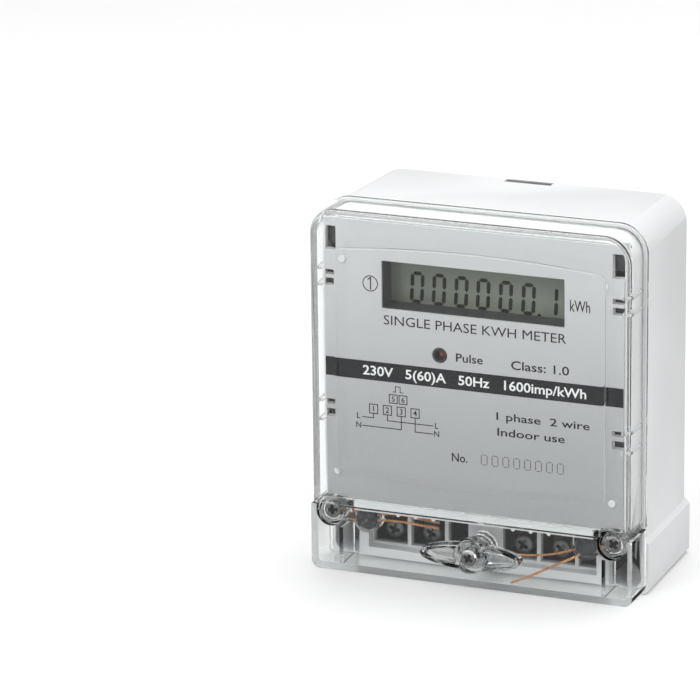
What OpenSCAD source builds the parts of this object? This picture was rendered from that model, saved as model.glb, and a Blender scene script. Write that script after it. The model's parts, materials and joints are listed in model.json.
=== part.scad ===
// Single-phase electricity meter for a 35 mm rail, in millimetres.
// +X is to the right, +Y to the back and +Z up. Depths are measured back from the front face
// of the clear covers, and from_front() moves them into the part's own frame.

/* [Overall] */
// Width of the case at the cover seam
body_w = 100; // [92:1:125]
// Height of the case
body_h = 112.4; // [104:0.2:140]
// Depth of the clear covers
cover_d = 13; // [13:0.5:17]
// Depth of the rear case behind the covers
case_d = 42; // [40:1:55]
// Amount each side of the case draws in from the seam to the back
draft = 0.9; // [0:0.1:2]
// Radius of the case's corners seen from the front
corner_r = 8; // [4:0.5:12]

/* [Walls] */
// Wall of the rear case
case_t = 2; // [1.6:0.1:2.6]
// Wall of the clear covers
cover_t = 1.8; // [1.2:0.1:2.4]
// Amount the covers' rims stand out past the case
rim_lip = 0.8; // [0:0.1:1.2]
// Rise of the window panel above the cover's face
window_rise = 0.8; // [0.4:0.1:1.2]

/* [Terminal section] */
// Height of the terminal cover
term_h = 20.5; // [20.5:0.1:22]
// Amount the lower section is wider than the case, each side
step_w = 1.3; // [0.5:0.1:2]
// Height where the wider lower section ends
step_z = 15.4; // [10:0.2:18]
// Distance between neighbouring main terminals
pitch = 12; // [12:0.2:12.8]
// Width of each narrow pulse cell
pulse_w = 7.5; // [7.5:0.1:8.5]
// Half width of the block's middle post
post_half = 4.9; // [4.6:0.1:6]
// Radius of a main wire hole
wire_r = 3.5; // [3:0.1:4]
// Radius of a pulse wire hole
pulse_r = 1.6; // [1.2:0.1:1.8]
// Radius of a main clamp screw
clamp_r = 2; // [1.5:0.1:2.2]
// Distance that a clamp pad travels
clamp_travel = 4; // [3:0.1:4]

/* [Display] */
// Width of the display opening
lcd_w = 57; // [50:1:64]
// Height of the display opening
lcd_h = 14.5; // [12:0.5:18]
// Height of the display's middle
lcd_z = 89.85; // [84:0.05:95]
// Radius of the pulse light's sleeve
led_r = 2.3; // [2:0.1:3]

/* [Mounting] */
// Height of the rail
rail_h = 35; // [35:0.1:35.2]
// Height of the rail's middle
rail_z = 56; // [54:0.5:60]
// Distance that the hooks stand out from the back
hook_d = 3.2; // [3:0.1:4]
// Gap between a hook's lip and the back
hook_gap = 1.4; // [1.2:0.1:1.6]
// Half width of the rail clip
clip_half = 11; // [10:0.5:14]
// Distance that the rail clip pulls down
clip_travel = 4; // [3:0.5:5]
// Width of the hanging lug
lug_w = 13.8; // [12:0.1:16]
// Thickness of the hanging lug
lug_t = 2; // [1.5:0.1:2.2]

/* [Fits] */
// Gap round a turning screw
run_gap = 0.05; // [0.03:0.01:0.08]
// Gap beside a sliding piece
slide_gap = 0.3; // [0.2:0.05:0.4]
// Gap round a piece that drops into an opening
drop_gap = 0.15; // [0.1:0.05:0.25]

/* [Hidden] */
$fn = 48;
eps = 0.01;

// Depths from the covers' front face
proud = 1.5;
back_y = cover_d + case_d;
inner_back_y = back_y - case_t;
front_y = -(back_y + hook_d - proud) / 2;
plate_y = 4;
plate_t = 0.8;
frame_y = plate_y + plate_t;
frame_t = 1.5;
gasket_t = 0.8;
glass_y = 11.7;
glass_t = 2.5;
board_y = cover_d + 4;
board_t = 1.6;
board_back = board_y + board_t;
block_y = cover_d + 1;
block_d = 26;
cell_back = block_y + 23.5;
ledge_d = 3.5;

// Widths and heights
half_w = body_w / 2;
half_step = half_w + step_w;
step_chamfer = 1.5;
back_round = 2.5;
skin = 0.1;
seam_z = term_h + 0.2;
plate_half = half_w - 3.3;
plate_z0 = seam_z + 1.3;
plate_z1 = body_h - 3.4;
window_half = half_w - 7.7;
window_z0 = seam_z + 5.9;
window_z1 = body_h - 7.2;
window_arch = 2.2;
// Each slot's lower end, upper end and distance from the plate's edge, 0 for a slot open at the edge
hook_slots = [[plate_z1 - 10, plate_z1 - 2.7, 0], [plate_z1 - 17.7, plate_z1 - 16.2, 0],
    [plate_z1 - 21, plate_z1 - 18.8, 0], [plate_z0 + 29.2, plate_z0 + 30.8, 0],
    [plate_z0 + 25.4, plate_z0 + 27.8, 0]];
led_x = -10.3;
led_z = lcd_z - 19.75;
bezel_t = 1.2;

// Main cover screws and bosses
boss_x = half_w - 5.6;
boss_z = seam_z - 2.1;
boss_r = 4.2;
boss_front = 1;
head_r = 2.95;
head_h = 2;
cover_screw_r = 1.6;

// Terminal block
block_z0 = case_t;
block_z1 = seam_z + 3.3;
floor_z = block_z0 + 4;
divider_t = 1.2;
block_half = post_half + pulse_w + 2 * pitch + 1.4;
main_x = [-(post_half + pulse_w + 1.5 * pitch), -(post_half + pulse_w + 0.5 * pitch),
    post_half + 0.5 * pitch, post_half + 1.5 * pitch];
pulse_x = [-(post_half + pulse_w / 2), post_half + 2 * pitch + pulse_w / 2];
term_w = pitch - 2;
term_d = 14;
term_z1 = floor_z + 14;
term_y0 = cell_back - term_d;
bore_y = cell_back - term_d / 2;
bore_top = floor_z + 13.2;
screw_z = [floor_z + 3.5, floor_z + 10.5];
pad_half = wire_r * 0.6;
pad_t = 1.4;
pad_back = bore_y - wire_r - 0.1;
pad_z0 = floor_z + 1.5;
pad_z1 = floor_z + 12.5;
clamp_head_h = 2.6;
clamp_head_r = clamp_r + 0.9;
clamp_head_back = term_y0 - clamp_travel - 0.1;
pulse_term_w = 5.4;
pulse_term_d = 9;
pulse_term_h = 10;
pulse_bore_y = cell_back - 4.2;
pulse_screw_r = 1.25;
pulse_screw_z = floor_z + 5;
pulse_tip_t = 0.8;
pulse_tip_y = pulse_bore_y - pulse_r - 0.3 - pulse_tip_t;
cover_screw_z = 9.6;
sleeve_back = block_y - 1.2;
collar_r = 5.2;
wing_l = 15.7;
wing_h = 3.8;
wing_back = 4;
shank_r = 1.75;

// Back and top
pocket_t = 3.1;
clip_t = pocket_t - slide_gap;
clip_tongue = 1.4;
tongue_t = 1.2;
clip_top = rail_z - rail_h / 2 - 0.1;
clip_bottom = 1;
lug_y = back_y - 5.3;
slot_half = lug_w / 2 + 0.5;
slot_d = lug_t + 1.4;
lug_top = body_h - 1;
lug_h = 24;
ear_w = 1.6;
post_r = 3.2;
board_holes = [for (x = [-1, 1], z = [plate_z0 + 8, plate_z1 - 12]) [x * (half_w - 9), z]];
block_hole_x = 30;
block_hole_z = block_z1 + 3.5;

// Seals and their wires
seal_x = boss_x - 9.8;
seal_z = boss_z - 2.6;
seal_r = 3.5;
seal_y = 5;
seal_t = 3.6;
wire_d = 0.9;
right_upper_route = [[41, 8.5, 17], [38.5, 7, 16.2], [34.6, 6.6, 15.6], [30, 6.2, 13.8],
    [25, 5.8, 12.2], [19, 5.6, 11], [12.4, 5.6, 10.4]];
right_lower_route = [[41, 7.8, 14.6], [38.5, 6.6, 14.4], [34.6, 6, 13.8], [30, 5.2, 11.4],
    [25, 4.4, 8.8], [19, 3.4, 5.6], [12.2, 2.8, 2.4]];
left_upper_route = [[-41, 8.5, 17.4], [-38.5, 7, 17.2], [-34.6, 6.6, 17], [-30, 6.8, 17.4],
    [-24, 7.2, 17.6], [-18, 7.4, 17], [-12.2, 7.4, 16.6]];
left_lower_route = [[-41, 7.8, 14.8], [-38.5, 6.6, 14.8], [-34.6, 6, 15], [-30, 6, 15.8],
    [-24, 6.2, 16], [-18, 6.4, 15.6], [-12, 6.6, 15.2]];

// Moves depths from the covers' front face into the part's frame
module from_front() {
    translate([0, front_y, 0]) children();
}

// Plain shape of X and Z, extruded from depth y0 to depth y1
module slab(y0, y1) {
    translate([0, y1, 0]) rotate([90, 0, 0]) linear_extrude(y1 - y0) children();
}

// Cylinder along Y
module rod(x, z, y0, y1, r) {
    translate([x, y1, z]) rotate([90, 0, 0]) cylinder(h = y1 - y0, r = r);
}

// Block between two corners
module block(low, high) {
    translate(low) cube(high - low);
}

// Rectangle of X and Z with round upper corners and its own round lower corners
module panel(half, z0, z1, r, low_r) {
    polygon([[-half + low_r, z0], [half - low_r, z0], [half, z0 + low_r], [half, z1 - r],
        [half - r, z1], [-half + r, z1], [-half, z1 - r], [-half, z0 + low_r]]);
    for (side = [-1, 1]) {
        translate([side * (half - r), z1 - r]) circle(r = r);
        translate([side * (half - low_r), z0 + low_r]) circle(r = low_r);
    }
}

// Solid that narrows from the seam to the back, with a softened rear edge
module tapered(half, z0, z1, r, y1, soft) {
    hull() {
        slab(cover_d, cover_d + skin) panel(half, z0, z1, r, 3, $fn = 32);
        slab(y1 - soft - skin, y1 - soft) panel(half - draft, z0, z1 - draft, r, 3, $fn = 32);
        slab(y1 - skin, y1)
            panel(half - draft - soft * 0.6, z0 + soft * 0.4, z1 - draft - soft * 0.6, r, 3, $fn = 32);
    }
}

// Hollow of the rear case
module case_hollow() {
    translate([0, -eps, 0])
        tapered(half_w - case_t, case_t, body_h - case_t, corner_r - case_t, inner_back_y, 0.5);
}

// Cross recess at the front of a screw head
module cross_recess(x, z, y0, span, depth) {
    for (turn = [0, 90]) {
        translate([x, y0 + depth / 2, z]) rotate([0, turn, 0]) cube([span, depth + eps, span / 4], center = true);
    }
}

// Screw along Y with a flat head and a cross recess, head first
module screw(x, z, y0, head, head_l, shank, y1) {
    difference() {
        rod(x, z, y0, y0 + head_l, head);
        cross_recess(x, z, y0, head * 1.15, head_l * 0.6);
    }
    rod(x, z, y0 + head_l - eps, y1, shank);
}

// Spot where a rear post holds a screw
module post(x, z, y0, hole) {
    difference() {
        rod(x, z, y0, inner_back_y + eps, post_r);
        rod(x, z, y0 - eps, y0 + 10, hole);
    }
}

// Outer shape of the rear case
module case_outer() {
    tapered(half_w, 0, body_h, corner_r, back_y, back_round);
    hull() {
        slab(cover_d, cover_d + skin) foot_outline(0);
        slab(back_y - 1 - skin, back_y - 1) foot_outline(draft);
    }
}

// Outline of the wider lower section
module foot_outline(inset) {
    low = half_step - inset;
    high = half_w - inset;
    polygon([[-low + 1, 0], [low - 1, 0], [low, 1], [low, step_z], [high, step_z + step_chamfer],
        [-high, step_z + step_chamfer], [-low, step_z], [-low, 1]]);
}

// Raised seat inside the back for the rail clip
module clip_seat() {
    block([-clip_half - 4, back_y - pocket_t - case_t, 0], [clip_half + 4, back_y - 1, clip_top + 4]);
}

// Channel that the rail clip slides in, open at the back and at the bottom
module clip_channel() {
    inner = clip_half + slide_gap;
    block([-inner, back_y - pocket_t, -1], [inner, back_y + 1, clip_top + 0.4]);
    block([-inner - clip_tongue, back_y - pocket_t, -1],
        [inner + clip_tongue, back_y - pocket_t + tongue_t + slide_gap, clip_top + 0.4]);
}

// Fixed hooks that go over the rail's upper edge
module fixed_hooks() {
    top = rail_z + rail_h / 2;
    for (side = [-1, 1]) {
        x = side * 24;
        block([x - 5, back_y - eps, top + 0.3], [x + 5, back_y + hook_d, top + 4.5]);
        block([x - 5, back_y + hook_gap, top - 1.7], [x + 5, back_y + hook_d, top + 0.4]);
    }
}

// Chamber that the hanging lug slides in
module lug_chamber() {
    block([-slot_half - ear_w - 1.8, lug_y - 2.4, lug_top - lug_h - 2],
        [slot_half + ear_w + 1.8, inner_back_y + eps, body_h - case_t]);
}

module lug_space() {
    block([-slot_half, lug_y - 0.7, lug_top - lug_h - 0.2], [slot_half, lug_y - 0.7 + slot_d, body_h + 1]);
    block([-slot_half - ear_w, lug_y - 0.7, lug_top - lug_h - 0.2],
        [slot_half + ear_w, lug_y - 0.7 + slot_d, body_h - case_t - 1.5]);
}

module rear_case() {
    color("WhiteSmoke") from_front() difference() {
        union() {
            difference() {
                case_outer();
                case_hollow();
                block([-block_half - 0.6, cover_d - 1, case_t], [block_half + 0.6, cover_d + 2, block_z1]);
            }
            intersection() {
                union() {
                    clip_seat();
                    lug_chamber();
                    for (side = [-1, 1])
                        rod(side * boss_x, boss_z, cover_d, cover_d + 17, boss_r);
                }
                case_outer();
            }
            for (hole = board_holes) post(hole[0], hole[1], board_back, 1.25);
            for (side = [-1, 1]) post(side * block_hole_x, block_hole_z, block_y + block_d, 1.25);
            fixed_hooks();
        }
        clip_channel();
        lug_space();
        for (side = [-1, 1]) rod(side * boss_x, boss_z, cover_d - 1, cover_d + 14, cover_screw_r);
        block([-block_half + 1.8, bore_y - 7, -1], [block_half - 1.8, bore_y + 6.5, case_t + eps]);
        gasket_ring(1);
    }
    color("WhiteSmoke") from_front() spring_lug();
}

// Fixed lug that the clip's spring stands on
module spring_lug() {
    block([-2.6, back_y - pocket_t - eps, 16], [2.6, back_y - 0.6, 18]);
}

// Band that runs down both sides and over the top, just inside the seam
module gasket_ring(front) {
    slab(cover_d - front, cover_d + gasket_t) difference() {
        panel(half_w - 0.5, seam_z + 3, body_h - 0.5, corner_r - 0.5, 0.5);
        panel(half_w - 1.4, seam_z - 3, body_h - 1.4, corner_r - 1.4, 0.5);
    }
}

module cover_gasket() {
    color("DimGray") from_front() gasket_ring(0);
}

// Outline of the main cover, grown by a margin
module cover_outline(grow) {
    panel(half_w + grow, seam_z - min(grow, 0), body_h + grow, corner_r + grow, 0.8);
}

// Outline of the raised window, with bowed upper and lower edges
module window_outline() {
    bow_r = (pow(window_half, 2) + pow(window_arch, 2)) / (2 * window_arch);
    intersection() {
        translate([-window_half, window_z0]) square([2 * window_half, window_z1 - window_z0]);
        translate([0, window_z1 - bow_r]) circle(r = bow_r, $fn = 360);
        translate([0, window_z0 + bow_r]) circle(r = bow_r, $fn = 360);
    }
}

// Ring that holds a cover screw, and the cup for the seal beside it
module cover_boss(side) {
    rod(side * boss_x, boss_z, boss_front, cover_d, boss_r);
    block([side * boss_x - boss_r, boss_front, seam_z], [side * boss_x + boss_r, cover_d, plate_z0 - 0.1]);
    difference() {
        union() {
            rod(side * seal_x, seal_z, seal_y, seal_y + seal_t, seal_r + 1);
            block([min(side * seal_x, side * boss_x), seal_y, seal_z - 1.4],
                [max(side * seal_x, side * boss_x), seal_y + seal_t, seal_z + 1]);
        }
        rod(side * seal_x, seal_z, seal_y - 1, seal_y + seal_t + 1, seal_r);
        block([side * seal_x - seal_r, seal_y - 1, seal_z], [side * seal_x + seal_r, seal_y + 6, seal_z + 6]);
    }
}

module main_cover() {
    color([0.85, 0.92, 0.95, 0.35]) from_front() difference() {
        union() {
            difference() {
                union() {
                    slab(0, cover_d) cover_outline(0);
                    slab(cover_d - 1.4, cover_d) cover_outline(rim_lip);
                }
                slab(cover_t, cover_d + 1) cover_outline(-cover_t);
                block([-half_w + cover_t, cover_t + 1.4, 0], [half_w - cover_t, cover_d + 1, seam_z + cover_t + 1]);
            }
            slab(-window_rise, eps) window_outline();
            for (side = [-1, 1]) cover_boss(side);
            cover_ribs();
        }
        for (side = [-1, 1]) {
            rod(side * boss_x, boss_z, -1, boss_front + 2.4, head_r + 0.1);
            rod(side * boss_x, boss_z, -1, cover_d + 1, cover_screw_r + drop_gap);
        }
    }
}

// Pairs of locating ribs down both inner sides of the cover
module cover_ribs() {
    for (side = [-1, 1], z = [body_h - 24.4, body_h - 19.4, seam_z + 26.3, seam_z + 32.3]) {
        x = side * (half_w - cover_t - 0.6);
        block([x - 0.8, cover_t - eps, z - 0.5], [x + 0.8, cover_d - 1.5, z + 0.5]);
    }
}

module main_cover_screws() {
    color("Silver") from_front() for (side = [-1, 1])
        screw(side * boss_x, boss_z, boss_front + 0.4, head_r, head_h, cover_screw_r, cover_d + 13);
}

// Outline of the terminal cover, grown by a margin
module terminal_outline(grow) {
    panel(half_w + 0.7 + grow, 0.3 - grow, term_h, 0.1, 2.5 + grow);
}

module terminal_cover() {
    color([0.85, 0.92, 0.95, 0.35]) from_front() difference() {
        union() {
            difference() {
                slab(0, cover_d - drop_gap) terminal_outline(0);
                slab(cover_t, cover_d + 1) terminal_outline(-cover_t);
                block([-half_w - 0.7 + cover_t, cover_t, cover_t + 4], [half_w + 0.7 - cover_t, cover_d + 1, term_h + 1]);
            }
            for (side = [-1, 1])
                block([side * (boss_x - 2.9) - 0.6, cover_t - eps, 1], [side * (boss_x - 2.9) + 0.6, cover_d - 2, boss_z - 5]);
        }
        for (side = [-1, 1]) {
            rod(side * boss_x, boss_z, -1, cover_d + 1, boss_r + slide_gap);
            block([side * boss_x - boss_r - slide_gap, -1, boss_z],
                [side * boss_x + boss_r + slide_gap, cover_d + 1, term_h + 1]);
        }
        rod(0, cover_screw_z, -1, cover_t + 1, collar_r + drop_gap);
        slab(-1, cover_t + 1) translate([0, cover_screw_z]) eye(wing_l + drop_gap, wing_h + drop_gap);
    }
}

// Oval outline
module eye(half_l, half_h) {
    scale([half_l, half_h]) circle(r = 1, $fn = 96);
}

module winged_sleeve() {
    color([0.85, 0.92, 0.95, 0.35]) from_front() difference() {
        union() {
            slab(-1, wing_back) translate([0, cover_screw_z]) difference() {
                eye(wing_l, wing_h);
                eye(wing_l - 1.5, wing_h - 1.2);
            }
            rod(0, cover_screw_z, -1, 5.5, collar_r);
            rod(0, cover_screw_z, 5.5 - eps, sleeve_back, 4.4);
        }
        rod(0, cover_screw_z, -2, 2, 2.9);
        rod(0, cover_screw_z, -2, sleeve_back + 1, shank_r + drop_gap);
    }
}

module terminal_cover_screw() {
    color("Silver") from_front() screw(0, cover_screw_z, -proud, 2.6, 2.4, shank_r, block_y + 10);
}

// Spring ring that keeps the terminal cover's screw captive
module screw_retainer() {
    color("DarkGray") from_front() difference() {
        rod(0, cover_screw_z, sleeve_back + 0.1, sleeve_back + 0.9, 3);
        rod(0, cover_screw_z, sleeve_back - 1, sleeve_back + 2, shank_r);
        block([-0.8, sleeve_back - 1, cover_screw_z], [0.8, sleeve_back + 2, cover_screw_z + 4]);
    }
}

// Places of the pins that hold the nameplate
pin_places = [for (side = [-1, 1]) each [[side * (half_w - 9), body_h - 15.9], [side * (half_w - 6.7), seam_z + 9.8]]];

module nameplate() {
    color("LightGray") from_front() difference() {
        block([-plate_half, plate_y, plate_z0], [plate_half, frame_y, plate_z1]);
        block([-lcd_w / 2, plate_y - 1, lcd_z - lcd_h / 2], [lcd_w / 2, frame_y + 1, lcd_z + lcd_h / 2]);
        rod(led_x, led_z, plate_y - 1, frame_y + 1, led_r + run_gap);
        for (pin = pin_places) rod(pin[0], pin[1], plate_y - 1, frame_y + 1, 1.1);
        side_slots();
        boss_corners();
    }
}

// Corners of the plate and its carrier that clear the screw bosses
module boss_corners() {
    for (side = [-1, 1]) rod(side * boss_x, boss_z, plate_y - 1, cover_d, boss_r + 0.2);
}

// Slots down both edges of the plate and its carrier, for the case's snap hooks
module side_slots() {
    for (side = [-1, 1], z = hook_slots) {
        low = side * (plate_half - 3.5);
        high = side * (z[2] > 0 ? plate_half - z[2] : plate_half + 1);
        block([min(low, high), plate_y - 1, z[0]], [max(low, high), frame_y + frame_t + 1, z[1]]);
    }
}

module nameplate_pins() {
    color("White") from_front() for (pin = pin_places)
        rod(pin[0], pin[1], plate_y - 0.4, frame_y + frame_t, 1.1);
}

// White carrier behind the nameplate, with its slotted lower edge
module panel_frame() {
    bezel_half = lcd_w / 2 + bezel_t + drop_gap;
    bezel_high = lcd_h / 2 + bezel_t + drop_gap;
    color("White") from_front() difference() {
        union() {
            block([-plate_half, frame_y, plate_z0], [plate_half, frame_y + frame_t, plate_z1]);
            block([-plate_half + 9, plate_y - 0.6, seam_z - 1.8], [plate_half - 9, plate_y + 0.4, plate_z0]);
            block([-plate_half + 9, plate_y, seam_z + 0.2], [plate_half - 9, frame_y + frame_t, plate_z0 + eps]);
            for (x = [-plate_half + 2.5, plate_half - 2.5], z = [plate_z0 + 3.5, plate_z1 - 27])
                block([x - 2, frame_y, z - 1.5], [x + 2, board_y, z + 1.5]);
            for (x = [12.6, 18.2, 23.8], side = [-1, 1])
                rod(side * x, seam_z - 1.8, plate_y - 0.6, plate_y + 0.4, 0.6);
        }
        block([-bezel_half, frame_y - 1, lcd_z - bezel_high], [bezel_half, board_y, lcd_z + bezel_high]);
        rod(led_x, led_z, frame_y - 1, frame_y + 3, led_r + run_gap);
        for (pin = pin_places) rod(pin[0], pin[1], frame_y - 1, frame_y + frame_t + 1, 1.1);
        side_slots();
        boss_corners();
        block([-36.7, 0, seam_z - 1.1], [-1, plate_y + 1, seam_z - 0.4]);
        block([10.6, 0, seam_z - 1.1], [36.7, plate_y + 1, seam_z - 0.4]);
    }
}

module lcd_bezel() {
    color("DimGray") from_front() difference() {
        block([-lcd_w / 2 - bezel_t, frame_y, lcd_z - lcd_h / 2 - bezel_t],
            [lcd_w / 2 + bezel_t, glass_y, lcd_z + lcd_h / 2 + bezel_t]);
        block([-lcd_w / 2, frame_y - 1, lcd_z - lcd_h / 2], [lcd_w / 2, glass_y + 1, lcd_z + lcd_h / 2]);
    }
}

module lcd_glass() {
    color("DarkSeaGreen") from_front()
        block([-lcd_w / 2 - 3.5, glass_y, lcd_z - lcd_h / 2 - 4], [lcd_w / 2 + 3.5, glass_y + glass_t, lcd_z + lcd_h / 2 + 4]);
}

// Two rows of contact pins between the display and the board
module lcd_pins() {
    color("Silver") from_front() for (i = [-9:9], side = [-1, 1])
        block([i * 2.54 - 0.25, glass_y + glass_t, lcd_z + side * (lcd_h / 2 + 2.6) - 0.2],
            [i * 2.54 + 0.25, board_y, lcd_z + side * (lcd_h / 2 + 2.6) + 0.2]);
}

module pulse_led() {
    color("DarkRed") from_front() {
        rod(led_x, led_z, plate_y + 4.5, board_y, 1.5);
        translate([led_x, plate_y + 4.5, led_z]) sphere(r = 1.5, $fn = 32);
    }
}

module led_sleeve() {
    color("Black") from_front() difference() {
        rod(led_x, led_z, plate_y - 0.1, board_y, led_r);
        rod(led_x, led_z, plate_y - 1, board_y + 1, led_r - 0.6);
    }
}

module metering_board() {
    color("DarkGreen") from_front() difference() {
        block([-plate_half + 0.8, board_y, plate_z0 + 2], [plate_half - 0.8, board_back, plate_z1 - 7]);
        for (hole = board_holes) rod(hole[0], hole[1], board_y - 1, board_back + 1, 1.6);
    }
}

module board_screws() {
    color("Silver") from_front() for (hole = board_holes)
        screw(hole[0], hole[1], board_y - 1.8, 2.6, 1.8, 1.25, board_back + 8);
}

// Film capacitor that drops the mains voltage
module dropper_capacitor() {
    color("Gold") from_front() block([8, board_back, 62], [34, board_back + 12, 80]);
}

module smoothing_capacitor() {
    color("MidnightBlue") from_front() rod(-6, 76, board_back, board_back + 16, 6.3);
}

// Disc that absorbs surges, standing on two legs
module varistor() {
    color("RoyalBlue") from_front() {
        translate([18, board_back + 10, 50]) rotate([0, 90, 0]) cylinder(h = 4, r = 6.5);
        for (z = [46.5, 53.5]) rod(20, z, board_back, board_back + 8, 0.4);
    }
}

module metering_chip() {
    color("Black") from_front() chip(-28, 50, 10, 5.3, 12);
}

module controller_chip() {
    color("Black") from_front() chip(-26, 74, 12, 12, 11);
}

// Flat chip on the board's back with legs down both sides
module chip(x, z, w, h, legs) {
    block([x - w / 2, board_back + 0.2, z - h / 2], [x + w / 2, board_back + 2, z + h / 2]);
    for (i = [0:legs - 1], side = [-1, 1])
        block([x + (i - (legs - 1) / 2) * 0.8 - 0.15, board_back, z + side * (h / 2 + 0.5) - 0.6],
            [x + (i - (legs - 1) / 2) * 0.8 + 0.15, board_back + 0.9, z + side * (h / 2 + 0.5) + 0.6]);
}

module crystal() {
    color("Silver") from_front() block([-10, board_back, 58], [-6.4, board_back + 3.5, 68]);
}

module optocoupler() {
    color("DimGray") from_front() block([-8, board_back, 40], [-1.6, board_back + 3.5, 44.6]);
}

module resistors() {
    color("Tan") from_front() for (i = [0:3])
        translate([2, board_back + 1.2, 34 + i * 4.5]) rotate([0, 90, 0]) cylinder(h = 8, r = 1.2);
}

module terminal_block() {
    color("Gainsboro") from_front() difference() {
        union() {
            block([-block_half, block_y, block_z0], [block_half, block_y + block_d, block_z1]);
            block([-block_half, block_y - ledge_d, block_z0 + 0.2], [block_half, block_y + eps, block_z0 + 3]);
            for (side = [-1, 1])
                block([side * (block_half - 0.1) - 1.5, block_y - ledge_d, block_z0 + 0.2],
                    [side * (block_half - 0.1) + 1.5, block_y + eps, block_z0 + 9.5]);
            block([-block_hole_x - 4, block_y + block_d - 2, block_z1 - eps],
                [block_hole_x + 4, block_y + block_d, block_hole_z + 3.5]);
        }
        for (x = main_x) {
            cell(x, pitch - divider_t);
            translate([x, bore_y, 0]) cylinder(h = floor_z + 1, r = wire_r + 0.5);
        }
        for (x = pulse_x) {
            cell(x, pulse_w - divider_t);
            block([x - pulse_r - 0.5, pulse_bore_y - pulse_r - 0.5, 0], [x + pulse_r + 0.5, pulse_bore_y + pulse_r + 0.5, floor_z + 1]);
        }
        rod(0, cover_screw_z, block_y - 1, block_y + 12, shank_r + run_gap);
        for (side = [-1, 1])
            rod(side * block_hole_x, block_hole_z, block_y, block_y + block_d + 1, 1.6);
        block([-post_half + 1.2, block_y + 14, -1], [post_half - 1.2, cell_back, block_z1 - 1.2]);
    }
}

// Space for one terminal, open at the front
module cell(x, w) {
    block([x - w / 2, block_y - 1, floor_z], [x + w / 2, cell_back, block_z1 - 1.4]);
}

module terminal_block_screws() {
    color("Silver") from_front() for (side = [-1, 1])
        screw(side * block_hole_x, block_hole_z, block_y + block_d - 3.8, 2.6, 1.8, 1.25, block_y + block_d + 8);
}

// Brass terminal with a wire hole from below, a slot for its pad and two screw holes
module main_terminal(x) {
    color("Goldenrod") from_front() difference() {
        block([x - term_w / 2, term_y0, floor_z], [x + term_w / 2, cell_back, term_z1]);
        translate([x, bore_y, floor_z - 1]) cylinder(h = bore_top - floor_z + 1, r = wire_r);
        block([x - pad_half - 0.1, pad_back - pad_t - 0.1, pad_z0 - 0.2], [x + pad_half + 0.1, bore_y, pad_z1 + 0.2]);
        for (z = screw_z) rod(x, z, term_y0 - 1, pad_back - pad_t, clamp_r + run_gap);
    }
}

module terminal_1() { main_terminal(main_x[0]); }
module terminal_2() { main_terminal(main_x[1]); }
module terminal_3() { main_terminal(main_x[2]); }
module terminal_4() { main_terminal(main_x[3]); }

module pulse_terminals() {
    color("Goldenrod") from_front() for (x = pulse_x) difference() {
        block([x - pulse_term_w / 2, cell_back - pulse_term_d, floor_z],
            [x + pulse_term_w / 2, cell_back, floor_z + pulse_term_h]);
        translate([x, pulse_bore_y, floor_z - 1]) cylinder(h = pulse_term_h - 1, r = pulse_r);
        rod(x, pulse_screw_z, cell_back - pulse_term_d - 1, pulse_bore_y, pulse_screw_r + run_gap);
    }
}

// Pad that presses the wire against the back of the terminal's hole
module clamp_pad(x) {
    color("Silver") from_front() block([x - pad_half, pad_back - pad_t, pad_z0], [x + pad_half, pad_back, pad_z1]);
}

module clamp_pad_1() { clamp_pad(main_x[0]); }
module clamp_pad_2() { clamp_pad(main_x[1]); }
module clamp_pad_3() { clamp_pad(main_x[2]); }
module clamp_pad_4() { clamp_pad(main_x[3]); }

// Clamp screw whose end bears on the pad
module clamp_screw(x, z) {
    color("Silver") from_front()
        screw(x, z, clamp_head_back - clamp_head_h, clamp_head_r, clamp_head_h, clamp_r, pad_back - pad_t);
}

module lower_screw_1() { clamp_screw(main_x[0], screw_z[0]); }
module lower_screw_2() { clamp_screw(main_x[1], screw_z[0]); }
module lower_screw_3() { clamp_screw(main_x[2], screw_z[0]); }
module lower_screw_4() { clamp_screw(main_x[3], screw_z[0]); }
module upper_screw_1() { clamp_screw(main_x[0], screw_z[1]); }
module upper_screw_2() { clamp_screw(main_x[1], screw_z[1]); }
module upper_screw_3() { clamp_screw(main_x[2], screw_z[1]); }
module upper_screw_4() { clamp_screw(main_x[3], screw_z[1]); }

// Pulse terminal's screw, which pushes its tip against the wire
module pulse_screw(x) {
    color("Silver") from_front()
        screw(x, pulse_screw_z, cell_back - pulse_term_d - 5.2, 2.2, 1.8, pulse_screw_r, pulse_tip_y);
}

module pulse_screw_5() { pulse_screw(pulse_x[0]); }
module pulse_screw_6() { pulse_screw(pulse_x[1]); }

// Loose tip between a pulse screw and its wire
module pulse_tip(x) {
    color("Goldenrod") from_front() rod(x, pulse_screw_z, pulse_tip_y, pulse_tip_y + pulse_tip_t, pulse_screw_r);
}

module pulse_tip_5() { pulse_tip(pulse_x[0]); }
module pulse_tip_6() { pulse_tip(pulse_x[1]); }

// Measuring strip between terminals 1 and 2
module current_shunt() {
    color("Peru") from_front() link_strip(main_x[0], main_x[1]);
}

// Solid link between terminals 3 and 4
module neutral_link() {
    color("Peru") from_front() link_strip(main_x[2], main_x[3]);
}

// Strip on top of two terminals, under the block's roof
module link_strip(x0, x1) {
    block([x0 - 3, cell_back - 5, term_z1], [x1 + 3, cell_back - 1, term_z1 + 1]);
}

// Wires from the terminals up to the board
module internal_leads() {
    color("FireBrick") from_front() for (x = [main_x[0] + 1, main_x[1] - 1, main_x[2]])
        translate([x, cell_back - 3, term_z1 + 1]) cylinder(h = 16, r = 0.7);
}

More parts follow.
